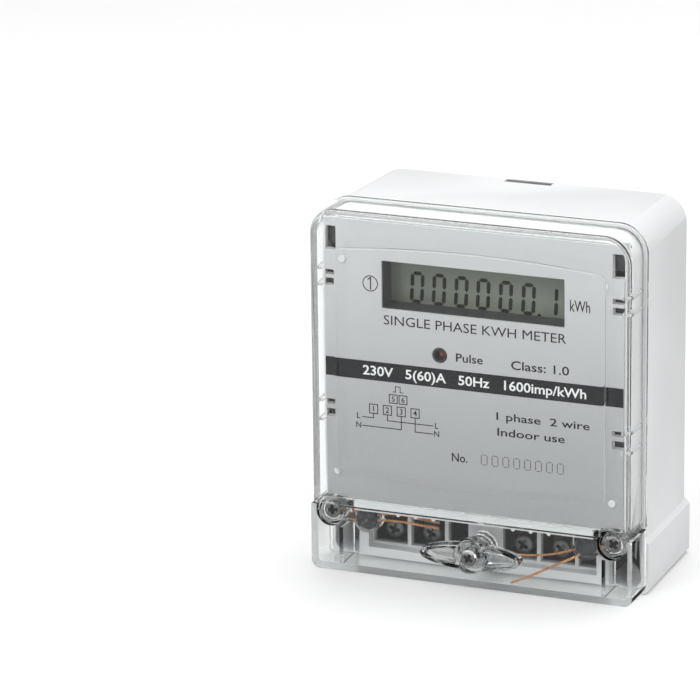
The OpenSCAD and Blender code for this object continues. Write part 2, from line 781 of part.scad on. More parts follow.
module din_clip() {
    tongue_y = back_y - pocket_t + slide_gap / 2;
    color("White") from_front() difference() {
        union() {
            block([-clip_half, back_y - clip_t - slide_gap / 2, clip_bottom], [clip_half, back_y - slide_gap / 2, clip_top]);
            block([-clip_half - clip_tongue, tongue_y, clip_bottom + 3],
                [clip_half + clip_tongue, tongue_y + tongue_t, clip_top - 3]);
            block([-clip_half + 1, back_y - 1, clip_top - 5], [clip_half - 1, back_y + hook_d, clip_top]);
            block([-clip_half + 1, back_y + hook_gap, clip_top - eps], [clip_half - 1, back_y + hook_d, clip_top + 1.8]);
        }
        block([-3.2, back_y - pocket_t - 1, 11], [3.2, back_y + 1, 30]);
        block([-4, back_y - pocket_t - 1, 3.4], [4, back_y + 1, 6.4]);
    }
}

// Points of the spring's wire, from its lower end up
function coil(turns, steps, r, z0, z1) = [for (i = [0:turns * steps])
    [r * cos(i * 360 / steps), back_y - pocket_t / 2, z0 + (z1 - z0) * i / (turns * steps)]
        + [0, r * 0.45 * sin(i * 360 / steps), 0]];

module clip_spring() {
    color("Silver") from_front() tube(coil(7, 12, 2, 18.3, 29.7), 0.45, 6);
}

module hanging_lug() {
    color("Silver") from_front() difference() {
        union() {
            block([-lug_w / 2, lug_y, lug_top - lug_h], [lug_w / 2, lug_y + lug_t, lug_top]);
            block([-lug_w / 2 - ear_w, lug_y, lug_top - lug_h], [lug_w / 2 + ear_w, lug_y + lug_t, lug_top - lug_h + 4]);
        }
        rod(0, lug_top - 6, lug_y - 1, lug_y + lug_t + 1, 2.3);
    }
}

module lead_seals() {
    color("DimGray") from_front() for (side = [-1, 1])
        rod(side * seal_x, seal_z, seal_y, seal_y + seal_t, seal_r);
}

// Direction of a route at point i
function along(p, i) = let (d = p[min(i + 1, len(p) - 1)] - p[max(i - 1, 0)]) d / norm(d);

// Ring of points round the route at point i
function ring(p, i, r, sides) = let (
    t = along(p, i),
    u = cross(t, [0, 1, 0.3]) / norm(cross(t, [0, 1, 0.3])),
    v = cross(t, u)
) [for (k = [0:sides - 1]) p[i] + r * (cos(k * 360 / sides) * u + sin(k * 360 / sides) * v)];

// Closed tube along a route
module tube(p, r, sides) {
    n = len(p);
    polyhedron(
        points = [for (i = [0:n - 1]) each ring(p, i, r, sides)],
        faces = concat(
            [[for (k = [sides - 1:-1:0]) k]],
            [for (i = [0:n - 2], k = [0:sides - 1])
                [i * sides + k, i * sides + (k + 1) % sides, (i + 1) * sides + (k + 1) % sides, (i + 1) * sides + k]],
            [[for (k = [0:sides - 1]) (n - 1) * sides + k]]));
}

module seal_wire(route) {
    color("Peru") from_front() tube(route, wire_d / 2, 8);
}

module seal_wire_right_upper() { seal_wire(right_upper_route); }
module seal_wire_right_lower() { seal_wire(right_lower_route); }
module seal_wire_left_upper() { seal_wire(left_upper_route); }
module seal_wire_left_lower() { seal_wire(left_lower_route); }

rear_case();
cover_gasket();
main_cover();
main_cover_screws();
terminal_cover();
winged_sleeve();
terminal_cover_screw();
screw_retainer();
nameplate();
nameplate_pins();
panel_frame();
lcd_bezel();
lcd_glass();
lcd_pins();
pulse_led();
led_sleeve();
metering_board();
board_screws();
dropper_capacitor();
smoothing_capacitor();
varistor();
metering_chip();
controller_chip();
crystal();
optocoupler();
resistors();
terminal_block();
terminal_block_screws();
current_shunt();
neutral_link();
internal_leads();
terminal_1();
terminal_2();
terminal_3();
terminal_4();
pulse_terminals();
clamp_pad_1();
clamp_pad_2();
clamp_pad_3();
clamp_pad_4();
lower_screw_1();
lower_screw_2();
lower_screw_3();
lower_screw_4();
upper_screw_1();
upper_screw_2();
upper_screw_3();
upper_screw_4();
pulse_screw_5();
pulse_screw_6();
pulse_tip_5();
pulse_tip_6();
din_clip();
clip_spring();
hanging_lug();
lead_seals();
seal_wire_right_upper();
seal_wire_right_lower();
seal_wire_left_upper();
seal_wire_left_lower();
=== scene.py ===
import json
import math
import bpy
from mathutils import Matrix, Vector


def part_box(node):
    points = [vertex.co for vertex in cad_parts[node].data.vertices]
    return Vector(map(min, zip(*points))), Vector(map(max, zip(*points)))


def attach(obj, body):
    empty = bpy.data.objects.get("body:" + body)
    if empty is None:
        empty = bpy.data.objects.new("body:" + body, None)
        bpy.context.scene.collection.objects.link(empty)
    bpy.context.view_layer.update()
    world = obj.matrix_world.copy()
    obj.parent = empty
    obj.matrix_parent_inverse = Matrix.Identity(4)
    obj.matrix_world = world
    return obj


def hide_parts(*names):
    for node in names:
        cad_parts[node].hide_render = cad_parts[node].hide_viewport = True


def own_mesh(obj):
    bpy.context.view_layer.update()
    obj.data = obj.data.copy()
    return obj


bl_info = {
    "name": "Electricity Meter",
    "version": (1, 0, 0),
    "blender": (4, 5, 0),
    "location": "View3D > Sidebar > Meter",
    "description": "Builds a single-phase electricity meter with clear covers, printed plate and terminals",
    "category": "Object",
}

import bmesh
import bpy
from bpy.props import FloatProperty, FloatVectorProperty, PointerProperty
from mathutils import Matrix, Vector

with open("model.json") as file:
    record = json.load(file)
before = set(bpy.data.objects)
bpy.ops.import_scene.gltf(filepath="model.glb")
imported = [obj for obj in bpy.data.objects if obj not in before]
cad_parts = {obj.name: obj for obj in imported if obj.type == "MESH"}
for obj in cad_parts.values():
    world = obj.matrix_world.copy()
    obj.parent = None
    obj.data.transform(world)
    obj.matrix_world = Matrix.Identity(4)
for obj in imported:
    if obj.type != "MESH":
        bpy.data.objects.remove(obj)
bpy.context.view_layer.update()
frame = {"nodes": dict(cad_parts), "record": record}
RECORD = frame["record"]
BODY_OF = {node: body for body, nodes in RECORD["behaviour"]["bodies"].items() for node in nodes}
SLOT_OF = {part["node"]: part["material_slot"] for part in RECORD["subparts"]}

# Sizes below are in millimetres: X to the right, Y back from the covers' front face, Z up
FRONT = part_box("terminal_cover")[0][1]
TO_FRAME = Matrix.Translation((0, FRONT, 0)) @ Matrix.Scale(0.001, 4)


def in_depth_frame(corner):
    return Vector((corner[0] * 1000, (corner[1] - FRONT) * 1000, corner[2] * 1000))


def low(node):
    return in_depth_frame(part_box(node)[0])


def high(node):
    return in_depth_frame(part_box(node)[1])


HALF = 50.0  # half the main cover's width
TOP = high("rear_case").z
SEAM = 20.7  # height of the seam between the two covers
DEEP = 13.0  # depth of both covers
PLATE_Y = low("nameplate").y
PLATE_HALF = high("nameplate").x
GLASS_Y = low("lcd_glass").y
SCREW_AXIS = 9.6  # height of the terminal cover's screw
BOSS_X, BOSS_Z, BOSS_R = 44.4, 18.6, 4.2  # screw bosses of the main cover
SEAL_X, SEAL_Z, SEAL_R = 34.6, 16.0, 3.5
SEAL_Y0, SEAL_Y1 = 5.0, 8.6  # faces of the lead seals and their cups

# Length in metres and route of each seal wire
WIRES = {
    "seal_wire_right_upper": (
        0.030, [(41, 8.5, 17), (38.5, 7, 16.2), (34.6, 6.6, 15.6), (30, 6.2, 13.8),
                (25, 5.8, 12.2), (19, 5.6, 11), (12.4, 5.6, 10.4)]),
    "seal_wire_right_lower": (
        0.032, [(41, 7.8, 14.6), (38.5, 6.6, 14.4), (34.6, 6, 13.8), (30, 5.2, 11.4),
                (25, 4.4, 8.8), (19, 3.4, 5.6), (12.2, 2.8, 2.4)]),
    "seal_wire_left_upper": (
        0.030, [(-41, 8.5, 17.4), (-38.5, 7, 17.2), (-34.6, 6.6, 17), (-30, 6.8, 17.4),
                (-24, 7.2, 17.6), (-18, 7.4, 17), (-12.2, 7.4, 16.6)]),
    "seal_wire_left_lower": (
        0.030, [(-41, 7.8, 14.8), (-38.5, 6.6, 14.8), (-34.6, 6, 15), (-30, 6, 15.8),
                (-24, 6.2, 16), (-18, 6.4, 15.6), (-12, 6.6, 15.2)]),
}


# Shader building

class Flow:
    """A socket that carries a value, with the arithmetic of plain numbers."""

    def __init__(self, finish, socket):
        self.finish = finish
        self.socket = socket

    def _maths(self, operation, first, second):
        return self.finish.node("ShaderNodeMath", {"operation": operation}, {0: first, 1: second})

    def __add__(self, other):
        return self._maths("ADD", self, other)

    def __radd__(self, other):
        return self._maths("ADD", other, self)

    def __sub__(self, other):
        return self._maths("SUBTRACT", self, other)

    def __rsub__(self, other):
        return self._maths("SUBTRACT", other, self)

    def __mul__(self, other):
        return self._maths("MULTIPLY", self, other)

    def __rmul__(self, other):
        return self._maths("MULTIPLY", other, self)


class Finish:
    """A material in the making, with its node tree."""

    def __init__(self, name):
        self.material = bpy.data.materials.new(name)
        self.material.use_nodes = True
        self.tree = self.material.node_tree
        self.tree.nodes.clear()
        self.place = self.node("ShaderNodeTexCoord", {}, {}, "Object")

    def node(self, kind, settings, sockets, out=0):
        made = self.tree.nodes.new(kind)
        for name, value in settings.items():
            if name == "stops":
                ramp = made.color_ramp
                while len(ramp.elements) < len(value):
                    ramp.elements.new(0.5)
                for element, (position, colour) in zip(ramp.elements, value):
                    element.position = position
                    element.color = colour
            else:
                setattr(made, name, value)
        for name, value in sockets.items():
            if isinstance(value, Flow):
                self.tree.links.new(value.socket, made.inputs[name])
            else:
                made.inputs[name].default_value = value
        return Flow(self, made.outputs[out])

    def speckle(self, scale, detail=2.0, rough=0.5, stretch=(1, 1, 1)):
        where = self.place
        if stretch != (1, 1, 1):
            where = self.node("ShaderNodeMapping", {}, {"Vector": where, "Scale": stretch})
        return self.node("ShaderNodeTexNoise", {"noise_dimensions": "3D"}, {
            "Vector": where, "Scale": scale, "Detail": detail, "Roughness": rough}, "Fac")

    def cells(self, scale):
        return self.node("ShaderNodeTexVoronoi", {"feature": "F1"}, {
            "Vector": self.place, "Scale": scale}, "Distance")

    def along(self, axis):
        return self.node("ShaderNodeSeparateXYZ", {}, {"Vector": self.place}, axis)

    def between(self, value, start, end):
        return self.node("ShaderNodeMapRange", {"clamp": True, "interpolation_type": "SMOOTHSTEP"}, {
            "Value": value, "From Min": start, "From Max": end, "To Min": 0.0, "To Max": 1.0})

    def blend(self, share, first, second):
        return self.node("ShaderNodeMix", {"data_type": "RGBA"}, {0: share, 6: first, 7: second}, 2)

    def relief(self, height, strength, distance):
        return self.node("ShaderNodeBump", {}, {
            "Strength": strength, "Distance": distance, "Height": height})

    def surface(self, colour, rough, metal=0.0, relief=None, coat=0.0, **fixed):
        sockets = {"Base Color": colour, "Roughness": rough, "Metallic": metal, "Coat Weight": coat}
        if relief is not None:
            sockets["Normal"] = relief
        names = {"sheen": "Sheen Weight", "ior": "IOR", "through": "Transmission Weight",
                 "coat_rough": "Coat Roughness", "specular": "Specular IOR Level"}
        for name, value in fixed.items():
            sockets[names[name]] = value
        return self.node("ShaderNodeBsdfPrincipled", {}, sockets, "BSDF")

    def done(self, shader):
        end = self.tree.nodes.new("ShaderNodeOutputMaterial")
        self.tree.links.new(shader.socket, end.inputs["Surface"])
        return self.material


def rgb(r, g, b, a=1.0):
    return (r, g, b, a)


def shade(colour, factor):
    return tuple(min(1.0, c * factor) for c in colour[:3]) + (1.0,)


def moulded(name, colour, rough=0.42, grain=0.05, coat=0.0):
    f = Finish(name)
    cloud = f.speckle(35.0, 3.0)
    fine = f.speckle(2600.0, 2.0, 0.6)
    mottled = f.blend(f.between(cloud, 0.35, 0.65), shade(colour, 0.975), shade(colour, 1.015))
    return f.done(f.surface(mottled, rough + 0.1 * (fine - 0.5), 0.0,
                            f.relief(fine, grain, 0.0002), coat))


def clear_plastic(name, tint, grain=0.012):
    f = Finish(name)
    swirl = f.speckle(55.0, 1.5, 0.4)
    haze = f.speckle(420.0, 2.0)
    glass = f.surface(tint, 0.015 + 0.03 * f.between(haze, 0.5, 0.85), 0.0,
                      f.relief(swirl, grain, 0.0015), 0.0, ior=1.42, through=1.0)
    ray = f.node("ShaderNodeLightPath", {}, {}, "Is Shadow Ray")
    see = f.node("ShaderNodeBsdfTransparent", {}, {"Color": (0.93, 0.94, 0.94, 1.0)})
    both = f.node("ShaderNodeMixShader", {}, {0: ray, 1: glass, 2: see})
    return f.done(both)


def metal(name, colour, rough=0.22, brushed=(1, 1, 1), grain=0.08, dull=0.08, scale=1500.0):
    f = Finish(name)
    streak = f.speckle(scale, 2.0, 0.55, brushed)
    worn = f.speckle(180.0, 3.0)
    tone = f.blend(f.between(worn, 0.35, 0.7), shade(colour, 1.0), shade(colour, 1.0 - dull))
    return f.done(f.surface(tone, rough + 0.12 * (streak - 0.4), 1.0,
                            f.relief(streak, grain, 0.00012)))


def pressed_lead(name, colour):
    f = Finish(name)
    lumps = f.speckle(420.0, 3.0, 0.6)
    pits = f.cells(900.0)
    bright = f.between(lumps, 0.52, 0.75)
    tone = f.blend(bright, colour, shade(colour, 2.0))
    return f.done(f.surface(tone, 0.5 - 0.14 * bright, 0.75,
                            f.relief(lumps * 0.9 + pits * 0.35, 0.8, 0.0008)))


def printed_silver(name, upper, lower):
    f = Finish(name)
    # Painted shade: the plate is drawn lighter at its top and darker towards its foot, blending two colours
    # along its height.
    height = f.between(f.along("Z"), 0.03, 0.105)
    flake = f.speckle(5200.0, 1.0)
    cloud = f.speckle(25.0, 2.0)
    tone = f.blend(height, lower, upper)
    tone = f.blend(0.1 * f.between(flake, 0.4, 0.7), tone, rgb(0.85, 0.85, 0.85))
    return f.done(f.surface(tone, 0.34 + 0.06 * cloud, 0.3,
                            f.relief(flake, 0.04, 0.0001), 0.15, coat_rough=0.2))


def display_glass(name, colour):
    f = Finish(name)
    # Painted light and shade: the display is drawn lighter towards its right and darker towards its left.
    spread = f.between(f.along("X"), -0.03, 0.03)
    # Painted shade: the display darkens towards its top edge, as if under the bezel.
    drop = f.between(f.along("Z"), 0.082, 0.0975)
    tone = f.blend(spread, shade(colour, 0.86), shade(colour, 1.12))
    tone = f.blend(0.45 * drop, tone, shade(colour, 0.55))
    grid = f.speckle(3800.0, 1.0)
    return f.done(f.surface(tone, 0.3 + 0.05 * grid, 0.0,
                            f.relief(grid, 0.03, 0.0001), 0.25, coat_rough=0.08))


def dark_frame(name, colour):
    f = Finish(name)
    streak = f.speckle(900.0, 2.0, 0.5, (1, 1, 0.08))
    edge = f.between(streak, 0.55, 0.8)
    return f.done(f.surface(f.blend(edge, colour, shade(colour, 2.2)), 0.45 - 0.1 * edge, 0.0,
                            f.relief(streak, 0.2, 0.0002)))


def ink(name, colour):
    f = Finish(name)
    break_up = f.speckle(3000.0, 2.0)
    return f.done(f.surface(f.blend(f.between(break_up, 0.6, 0.8), colour, shade(colour, 1.25)), 0.6,
                            specular=0.1))


def circuit_board(name, colour):
    f = Finish(name)
    column = f.node("ShaderNodeTexBrick", {"offset": 0.5}, {
        "Vector": f.place, "Scale": 260.0, "Mortar Size": 0.06,
        "Color1": shade(colour, 1.0), "Color2": shade(colour, 0.8), "Mortar": shade(colour, 1.8)})
    fine = f.speckle(2500.0)
    return f.done(f.surface(column, 0.3 + 0.1 * fine, 0.0, f.relief(fine, 0.05, 0.0001), 0.3))


def glossy_body(name, colour, rough=0.25):
    f = Finish(name)
    cloud = f.speckle(240.0, 3.0)
    tone = f.blend(f.between(cloud, 0.35, 0.7), shade(colour, 0.85), shade(colour, 1.15))
    return f.done(f.surface(tone, rough + 0.1 * cloud, 0.0, f.relief(cloud, 0.08, 0.0004), 0.3))


def soft_rubber(name, colour):
    f = Finish(name)
    fine = f.speckle(1800.0, 3.0)
    return f.done(f.surface(f.blend(fine, shade(colour, 0.8), shade(colour, 1.3)),
                            0.75 + 0.1 * fine, 0.0, f.relief(fine, 0.2, 0.0003)))


def red_lamp(name, colour):
    f = Finish(name)
    cloud = f.speckle(600.0, 2.0)
    tone = f.blend(cloud, shade(colour, 0.7), shade(colour, 1.5))
    return f.done(f.surface(tone, 0.22 + 0.1 * cloud, 0.0, f.relief(cloud, 0.1, 0.0003), 0.5))


def painted_shade_moulding(name, colour, deep):
    """Light moulding with painted shade: darker deep inside its cells."""
    f = Finish(name)
    fine = f.speckle(2600.0, 2.0, 0.6)
    # Painted shade: the colour turns to the dark one with depth into the cells.
    inside = f.between(f.along("Y"), -0.0138, -0.0112)
    return f.done(f.surface(f.blend(inside, colour, deep), 0.5 + 0.1 * (fine - 0.5), 0.0,
                            f.relief(fine, 0.08, 0.0002)))


def studio_floor(name, colour):
    f = Finish(name)
    cloud = f.speckle(12.0, 3.0)
    return f.done(f.surface(f.blend(cloud, shade(colour, 0.99), shade(colour, 1.01)),
                            0.75 + 0.1 * cloud))


FINISHES = {}


def mix_finishes(colours):
    c = colours
    made = {
        "case": moulded("white moulded case", tuple(c.case) + (1,), 0.4, 0.06),
        "clear_cover": clear_plastic("clear polycarbonate", (0.985, 0.995, 0.992, 1)),
        "seal_rubber": soft_rubber("pale silicone seal", rgb(0.55, 0.56, 0.56)),
        "screw_steel": metal("bright zinc screws", rgb(0.95, 0.95, 0.93), 0.13),
        "printed_plate": printed_silver("satin silver plate with painted shade", tuple(c.plate_painted_lit_top) + (1,),
                                        tuple(c.plate_painted_shaded_foot) + (1,)),
        "white_plastic": moulded("white carrier plastic", rgb(0.74, 0.75, 0.75), 0.48, 0.06),
        "dark_bezel": dark_frame("matt dark bezel", rgb(0.028, 0.03, 0.031)),
        "display": display_glass("grey-green display with painted light and shade", tuple(c.display) + (1,)),
        "pin_metal": metal("tinned pins", rgb(0.7, 0.7, 0.68), 0.3),
        "red_lens": red_lamp("dull red lamp", rgb(0.2, 0.022, 0.02)),
        "black_plastic": glossy_body("black plastic", rgb(0.018, 0.018, 0.02), 0.35),
        "circuit_board": circuit_board("green circuit board", rgb(0.015, 0.11, 0.05)),
        "film_capacitor": glossy_body("yellow film capacitor", rgb(0.48, 0.26, 0.03)),
        "can_sleeve": glossy_body("blue-black can sleeve", rgb(0.01, 0.014, 0.06)),
        "blue_disc": glossy_body("blue disc", rgb(0.02, 0.06, 0.3)),
        "resistor_body": glossy_body("tan resistors", rgb(0.3, 0.18, 0.09)),
        # The dark colour here is painted shade deep in the block's cells.
        "block_plastic": painted_shade_moulding("light grey block with painted shade in its cells", tuple(c.block) + (1,), rgb(0.055, 0.057, 0.06)),
        # Painted shade: the brass is far darker than real brass and stands for the shade in the terminal
        # block's cells.
        "brass": metal("machined brass darkened as painted shade", rgb(0.13, 0.1, 0.055), 0.42, (1, 1, 6), 0.12),
        "copper": metal("bare copper wire", tuple(c.copper) + (1,), 0.28, (1, 1, 1), 0.1, 0.25),
        "lead_insulation": glossy_body("red lead insulation", rgb(0.3, 0.012, 0.01)),
        # Painted shade: the steel is darkened well below bright zinc and stands for the shade in the cells.
        "zinc_steel": metal("galvanised steel darkened as painted shade", rgb(0.2, 0.203, 0.207), 0.45, (1, 1, 1), 0.2, 0.3, 300.0),
        "seal_lead": pressed_lead("pressed lead", tuple(c.lead) + (1,)),
        "ink_dark": ink("dark printing", rgb(0.01, 0.0105, 0.012)),
        "ink_white": ink("white printing", rgb(0.85, 0.86, 0.86)),
        "digits": ink("display digits", rgb(0.006, 0.007, 0.006)),
        "floor": studio_floor("pale studio floor", rgb(0.9, 0.9, 0.9)),
    }
    FINISHES.update(made)


# Mesh building

def blank():
    return bmesh.new()


def as_mesh_object(bm, name):
    mesh = bpy.data.meshes.new(name)
    bm.to_mesh(mesh)
    bm.free()
    made = bpy.data.objects.new(name, mesh)
    bpy.context.scene.collection.objects.link(made)
    return made


def drop(made):
    mesh = made.data
    bpy.data.objects.remove(made)
    bpy.data.meshes.remove(mesh)


def shape_with(base, tool, how="DIFFERENCE"):
    """The base cut by, joined to or kept inside the tool, as a new bmesh."""
    bmesh.ops.recalc_face_normals(base, faces=base.faces)
    bmesh.ops.recalc_face_normals(tool, faces=tool.faces)
    left, right = as_mesh_object(base, "shape base"), as_mesh_object(tool, "shape tool")
    joined = left.modifiers.new("shape", "BOOLEAN")
    joined.operation = how
    joined.solver = "EXACT"
    joined.object = right
    result = left.evaluated_get(bpy.context.evaluated_depsgraph_get()).to_mesh()
    bm = bmesh.new()
    bm.from_mesh(result)
    drop(left)
    drop(right)
    bmesh.ops.remove_doubles(bm, verts=bm.verts, dist=0.0004)
    bmesh.ops.dissolve_degenerate(bm, edges=bm.edges, dist=0.0002)
    return bm


def cut(base, *tools):
    for tool in tools:
        base = shape_with(base, tool)
    return base


def fuse(base, *tools):
    for tool in tools:
        base = shape_with(base, tool, "UNION")
    return base


def soften(bm, edges, width, steps=3):
    if edges:
        bmesh.ops.bevel(bm, geom=edges, offset=width, offset_type="OFFSET", segments=steps, profile=0.5,
                        affect="EDGES", clamp_overlap=True, material=-1)


def edges_at(bm, y, tolerance=0.001):
    return [e for e in bm.edges if all(abs(v.co.y - y) < tolerance for v in e.verts)
            and not all(abs(f.normal.y) > 0.99 for f in e.link_faces)]


def extruded(bm, y0, y1, front=0.0, back=0.0, steps=4):
    """Gives the flat faces of a bmesh their depth, then softens the front and rear edges."""
    for v in bm.verts:
        v.co.y = y0
    grown = bmesh.ops.extrude_face_region(bm, geom=list(bm.faces))
    bmesh.ops.translate(bm, vec=(0, y1 - y0, 0),
                        verts=[g for g in grown["geom"] if isinstance(g, bmesh.types.BMVert)])
    bmesh.ops.recalc_face_normals(bm, faces=bm.faces)
    if front:
        soften(bm, edges_at(bm, y0), front, steps)
    if back:
        bm.normal_update()
        soften(bm, edges_at(bm, y1), back, steps)
    return bm


def rounded_slab(half, z0, z1, y0, y1, top=0.0, foot=0.0, front=0.0, back=0.0, steps=5, x=0.0):
    bm = blank()
    corners = [bm.verts.new((x + a * half, 0, z)) for a, z in ((-1, z0), (1, z0), (1, z1), (-1, z1))]
    bm.faces.new(corners)
    for radius, pair in ((top, corners[2:]), (foot, corners[:2])):
        if radius:
            bmesh.ops.bevel(bm, geom=list(pair), offset=radius, offset_type="OFFSET", segments=10,
                            profile=0.5, affect="VERTICES", clamp_overlap=False, material=-1)
    return extruded(bm, y0, y1, front, back, steps)


def bowed_slab(half, z0, z1, rise, y0, y1, front=0.0, steps=3, corner=2.0):
    """Slab whose upper and lower edges bow outwards by rise at the middle."""
    bm = blank()
    bmesh.ops.create_grid(bm, x_segments=24, y_segments=1, size=1.0)
    for v in bm.verts:
        u, w = v.co.x, v.co.y
        edge = z1 - rise * u * u if w > 0 else z0 + rise * u * u
        v.co = Vector((u * half, 0, edge))
    corners = [v for v in bm.verts if abs(abs(v.co.x) - half) < 0.001]
    bmesh.ops.bevel(bm, geom=corners, offset=corner, offset_type="OFFSET", segments=6, profile=0.5,
                    affect="VERTICES", clamp_overlap=False, material=-1)
    return extruded(bm, y0, y1, front, 0.0, steps)


def oval_slab(half_l, half_h, z, y0, y1, front=0.0, back=0.0):
    bm = blank()
    bmesh.ops.create_circle(bm, cap_ends=True, segments=96, radius=1.0)
    for v in bm.verts:
        v.co = Vector((v.co.x * half_l, 0, z + v.co.y * half_h))
    return extruded(bm, y0, y1, front, back, 3)


def brick(low_corner, high_corner, round_edge=0.0, steps=2):
    bm = blank()
    bmesh.ops.create_cube(bm, size=1.0)
    a, b = Vector(low_corner), Vector(high_corner)
    bmesh.ops.scale(bm, vec=b - a, verts=bm.verts)
    bmesh.ops.translate(bm, vec=(a + b) / 2, verts=bm.verts)
    if round_edge:
        soften(bm, list(bm.edges), round_edge, steps)
    return bm


def rod(x, z, y0, y1, radius, front=0.0, back=0.0, sides=72, tip=None):
    bm = blank()
    bmesh.ops.create_cone(bm, cap_ends=True, segments=sides, radius1=tip or radius, radius2=radius,
                          depth=y1 - y0)
    bmesh.ops.rotate(bm, cent=(0, 0, 0), matrix=Matrix.Rotation(-math.pi / 2, 3, "X"), verts=bm.verts)
    bmesh.ops.translate(bm, vec=(x, (y0 + y1) / 2, z), verts=bm.verts)
    bmesh.ops.recalc_face_normals(bm, faces=bm.faces)
    if front:
        soften(bm, edges_at(bm, y0), front, 3)
    if back:
        bm.normal_update()
        soften(bm, edges_at(bm, y1), back, 3)
    return bm


def turned(profile, x, z, sides=64):
    """Solid turned about a line along Y, from (radius, depth) points that start and end on it."""
    bm = blank()
    points = [bm.verts.new((r, y, 0)) for r, y in profile]
    for a, b in zip(points, points[1:]):
        bm.edges.new((a, b))
    bmesh.ops.spin(bm, geom=bm.verts[:] + bm.edges[:], cent=(0, 0, 0), axis=(0, 1, 0),
                   angle=math.tau, steps=sides, use_merge=True, use_duplicate=False)
    bmesh.ops.remove_doubles(bm, verts=bm.verts, dist=0.0005)
    bmesh.ops.translate(bm, vec=(x, 0, z), verts=bm.verts)
    bmesh.ops.recalc_face_normals(bm, faces=bm.faces)
    return bm


def together(*parts):
    """Several closed shapes as one bmesh."""
    whole = blank()
    for part in parts:
        mesh = bpy.data.meshes.new("share")
        part.to_mesh(mesh)
        part.free()
        whole.from_mesh(mesh)
        bpy.data.meshes.remove(mesh)
    return whole


def make(bm, name, node, finish=None, stands_for=None, edge=0.0, steps=2, in_frame=False, sharp=32,
         tidy_normals=True):
    """Turns a bmesh into a finished piece that rides with its CAD node."""
    if tidy_normals:
        bmesh.ops.recalc_face_normals(bm, faces=bm.faces)
    if not in_frame:
        bmesh.ops.transform(bm, matrix=TO_FRAME, verts=bm.verts)
    made = as_mesh_object(bm, name)
    made.data.materials.append(FINISHES[finish or SLOT_OF[node]])
    made.data.shade_smooth()
    made.data.set_sharp_from_angle(angle=math.radians(sharp))
    if edge:
        rounding = made.modifiers.new("softened edges", "BEVEL")
        rounding.width = edge * 0.001
        rounding.segments = steps
        rounding.limit_method = "ANGLE"
        rounding.angle_limit = math.radians(34)
        rounding.use_clamp_overlap = True
        rounding.harden_normals = True
    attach(made, BODY_OF[node])
    for name_ in ([node] if stands_for is None else stands_for):
        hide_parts(name_)
    return made


def refined(node, name, edge, steps=2, finish=None):
    """A copy of a CAD node with merged faces and softened edges."""
    bm = blank()
    bm.from_mesh(frame["nodes"][node].data)
    bmesh.ops.remove_doubles(bm, verts=bm.verts, dist=0.000002)
    bmesh.ops.dissolve_limit(bm, angle_limit=math.radians(0.6), verts=bm.verts, edges=bm.edges)
    return make(bm, name, node, finish, None, edge, steps, True, 32, False)


# Pieces

def line_through(points, count):
    """Evenly spaced points along a smooth curve through the given ones."""
    pts = [Vector(p) for p in points]
    pts = [2 * pts[0] - pts[1]] + pts + [2 * pts[-1] - pts[-2]]
    fine = []
    for a, b, c, d in zip(pts, pts[1:], pts[2:], pts[3:]):
        for i in range(12):
            t = i / 12
            fine.append(0.5 * (2 * b + (c - a) * t + (2 * a - 5 * b + 4 * c - d) * t ** 2
                               + (3 * b - a - 3 * c + d) * t ** 3))
    fine.append(pts[-2])
    spans = [0.0]
    for a, b in zip(fine, fine[1:]):
        spans.append(spans[-1] + (b - a).length)
    out, at = [], 0
    for i in range(count):
        want = spans[-1] * i / (count - 1)
        while at < len(spans) - 2 and spans[at + 1] < want:
            at += 1
        share = (want - spans[at]) / max(spans[at + 1] - spans[at], 1e-9)
        out.append(fine[at].lerp(fine[at + 1], min(max(share, 0), 1)))
    return out


def strand(points, radius, sides=8):
    """Round wire along the points, closed at both ends."""
    bm = blank()
    rings = []
    for i, p in enumerate(points):
        along = (points[min(i + 1, len(points) - 1)] - points[max(i - 1, 0)]).normalized()
        turn = along.to_track_quat("Z", "X").to_matrix().to_4x4()
        ring = bmesh.ops.create_circle(bm, segments=sides, radius=radius,
                                       matrix=Matrix.Translation(p) @ turn)["verts"]
        rings.append(ring)
    for a, b in zip(rings, rings[1:]):
        edges = [e for e in bm.edges if (e.verts[0] in a and e.verts[1] in a)
                 or (e.verts[0] in b and e.verts[1] in b)]
        bmesh.ops.bridge_loops(bm, edges=edges)
    for ring in (rings[0], rings[-1]):
        bmesh.ops.contextual_create(bm, geom=ring)
    return bm


def seal_wires(sizes):
    """Two copper strands twisted round each other along each route."""
    thick = sizes.wire * 1000
    for node, (length, route) in WIRES.items():
        centre = line_through(route, 97)
        total = sum((b - a).length for a, b in zip(centre, centre[1:]))
        twists = total / sizes.twist / 1000
        strands = []
        for phase in (0.0, math.pi):
            path = []
            for i, p in enumerate(centre):
                along = (centre[min(i + 1, 96)] - centre[max(i - 1, 0)]).normalized()
                side = along.cross(Vector((0, 0.2, 1))).normalized()
                up = side.cross(along)
                turn = phase + math.tau * twists * i / 96
                spread = thick * 0.25
                path.append(p + spread * (math.cos(turn) * side + math.sin(turn) * up))
            strands.append(strand(path, thick * 0.25))
        wire = make(together(*strands), node + "_twisted", node)
        path = [list(TO_FRAME @ p) for p in centre[::4]]


def place_camera(view):
    az, el = view.azimuth, view.elevation
    target = Vector(view.target)
    away = Vector((math.cos(el) * math.sin(az), -math.cos(el) * math.cos(az), math.sin(el)))
    lens = bpy.data.cameras.new("front camera")
    lens.sensor_width = 36
    lens.lens = view.lens
    lens.shift_x, lens.shift_y = view.shift_x, view.shift_y
    lens.clip_start, lens.clip_end = 0.05, 30
    camera = bpy.data.objects.new("front camera", lens)
    bpy.context.scene.collection.objects.link(camera)
    turn = (Matrix.Rotation(az, 4, "Z") @ Matrix.Rotation(math.pi / 2 - el, 4, "X")
            @ Matrix.Rotation(view.roll, 4, "Z"))
    camera.matrix_world = Matrix.Translation(target + view.distance * away) @ turn
    bpy.context.scene.camera = camera


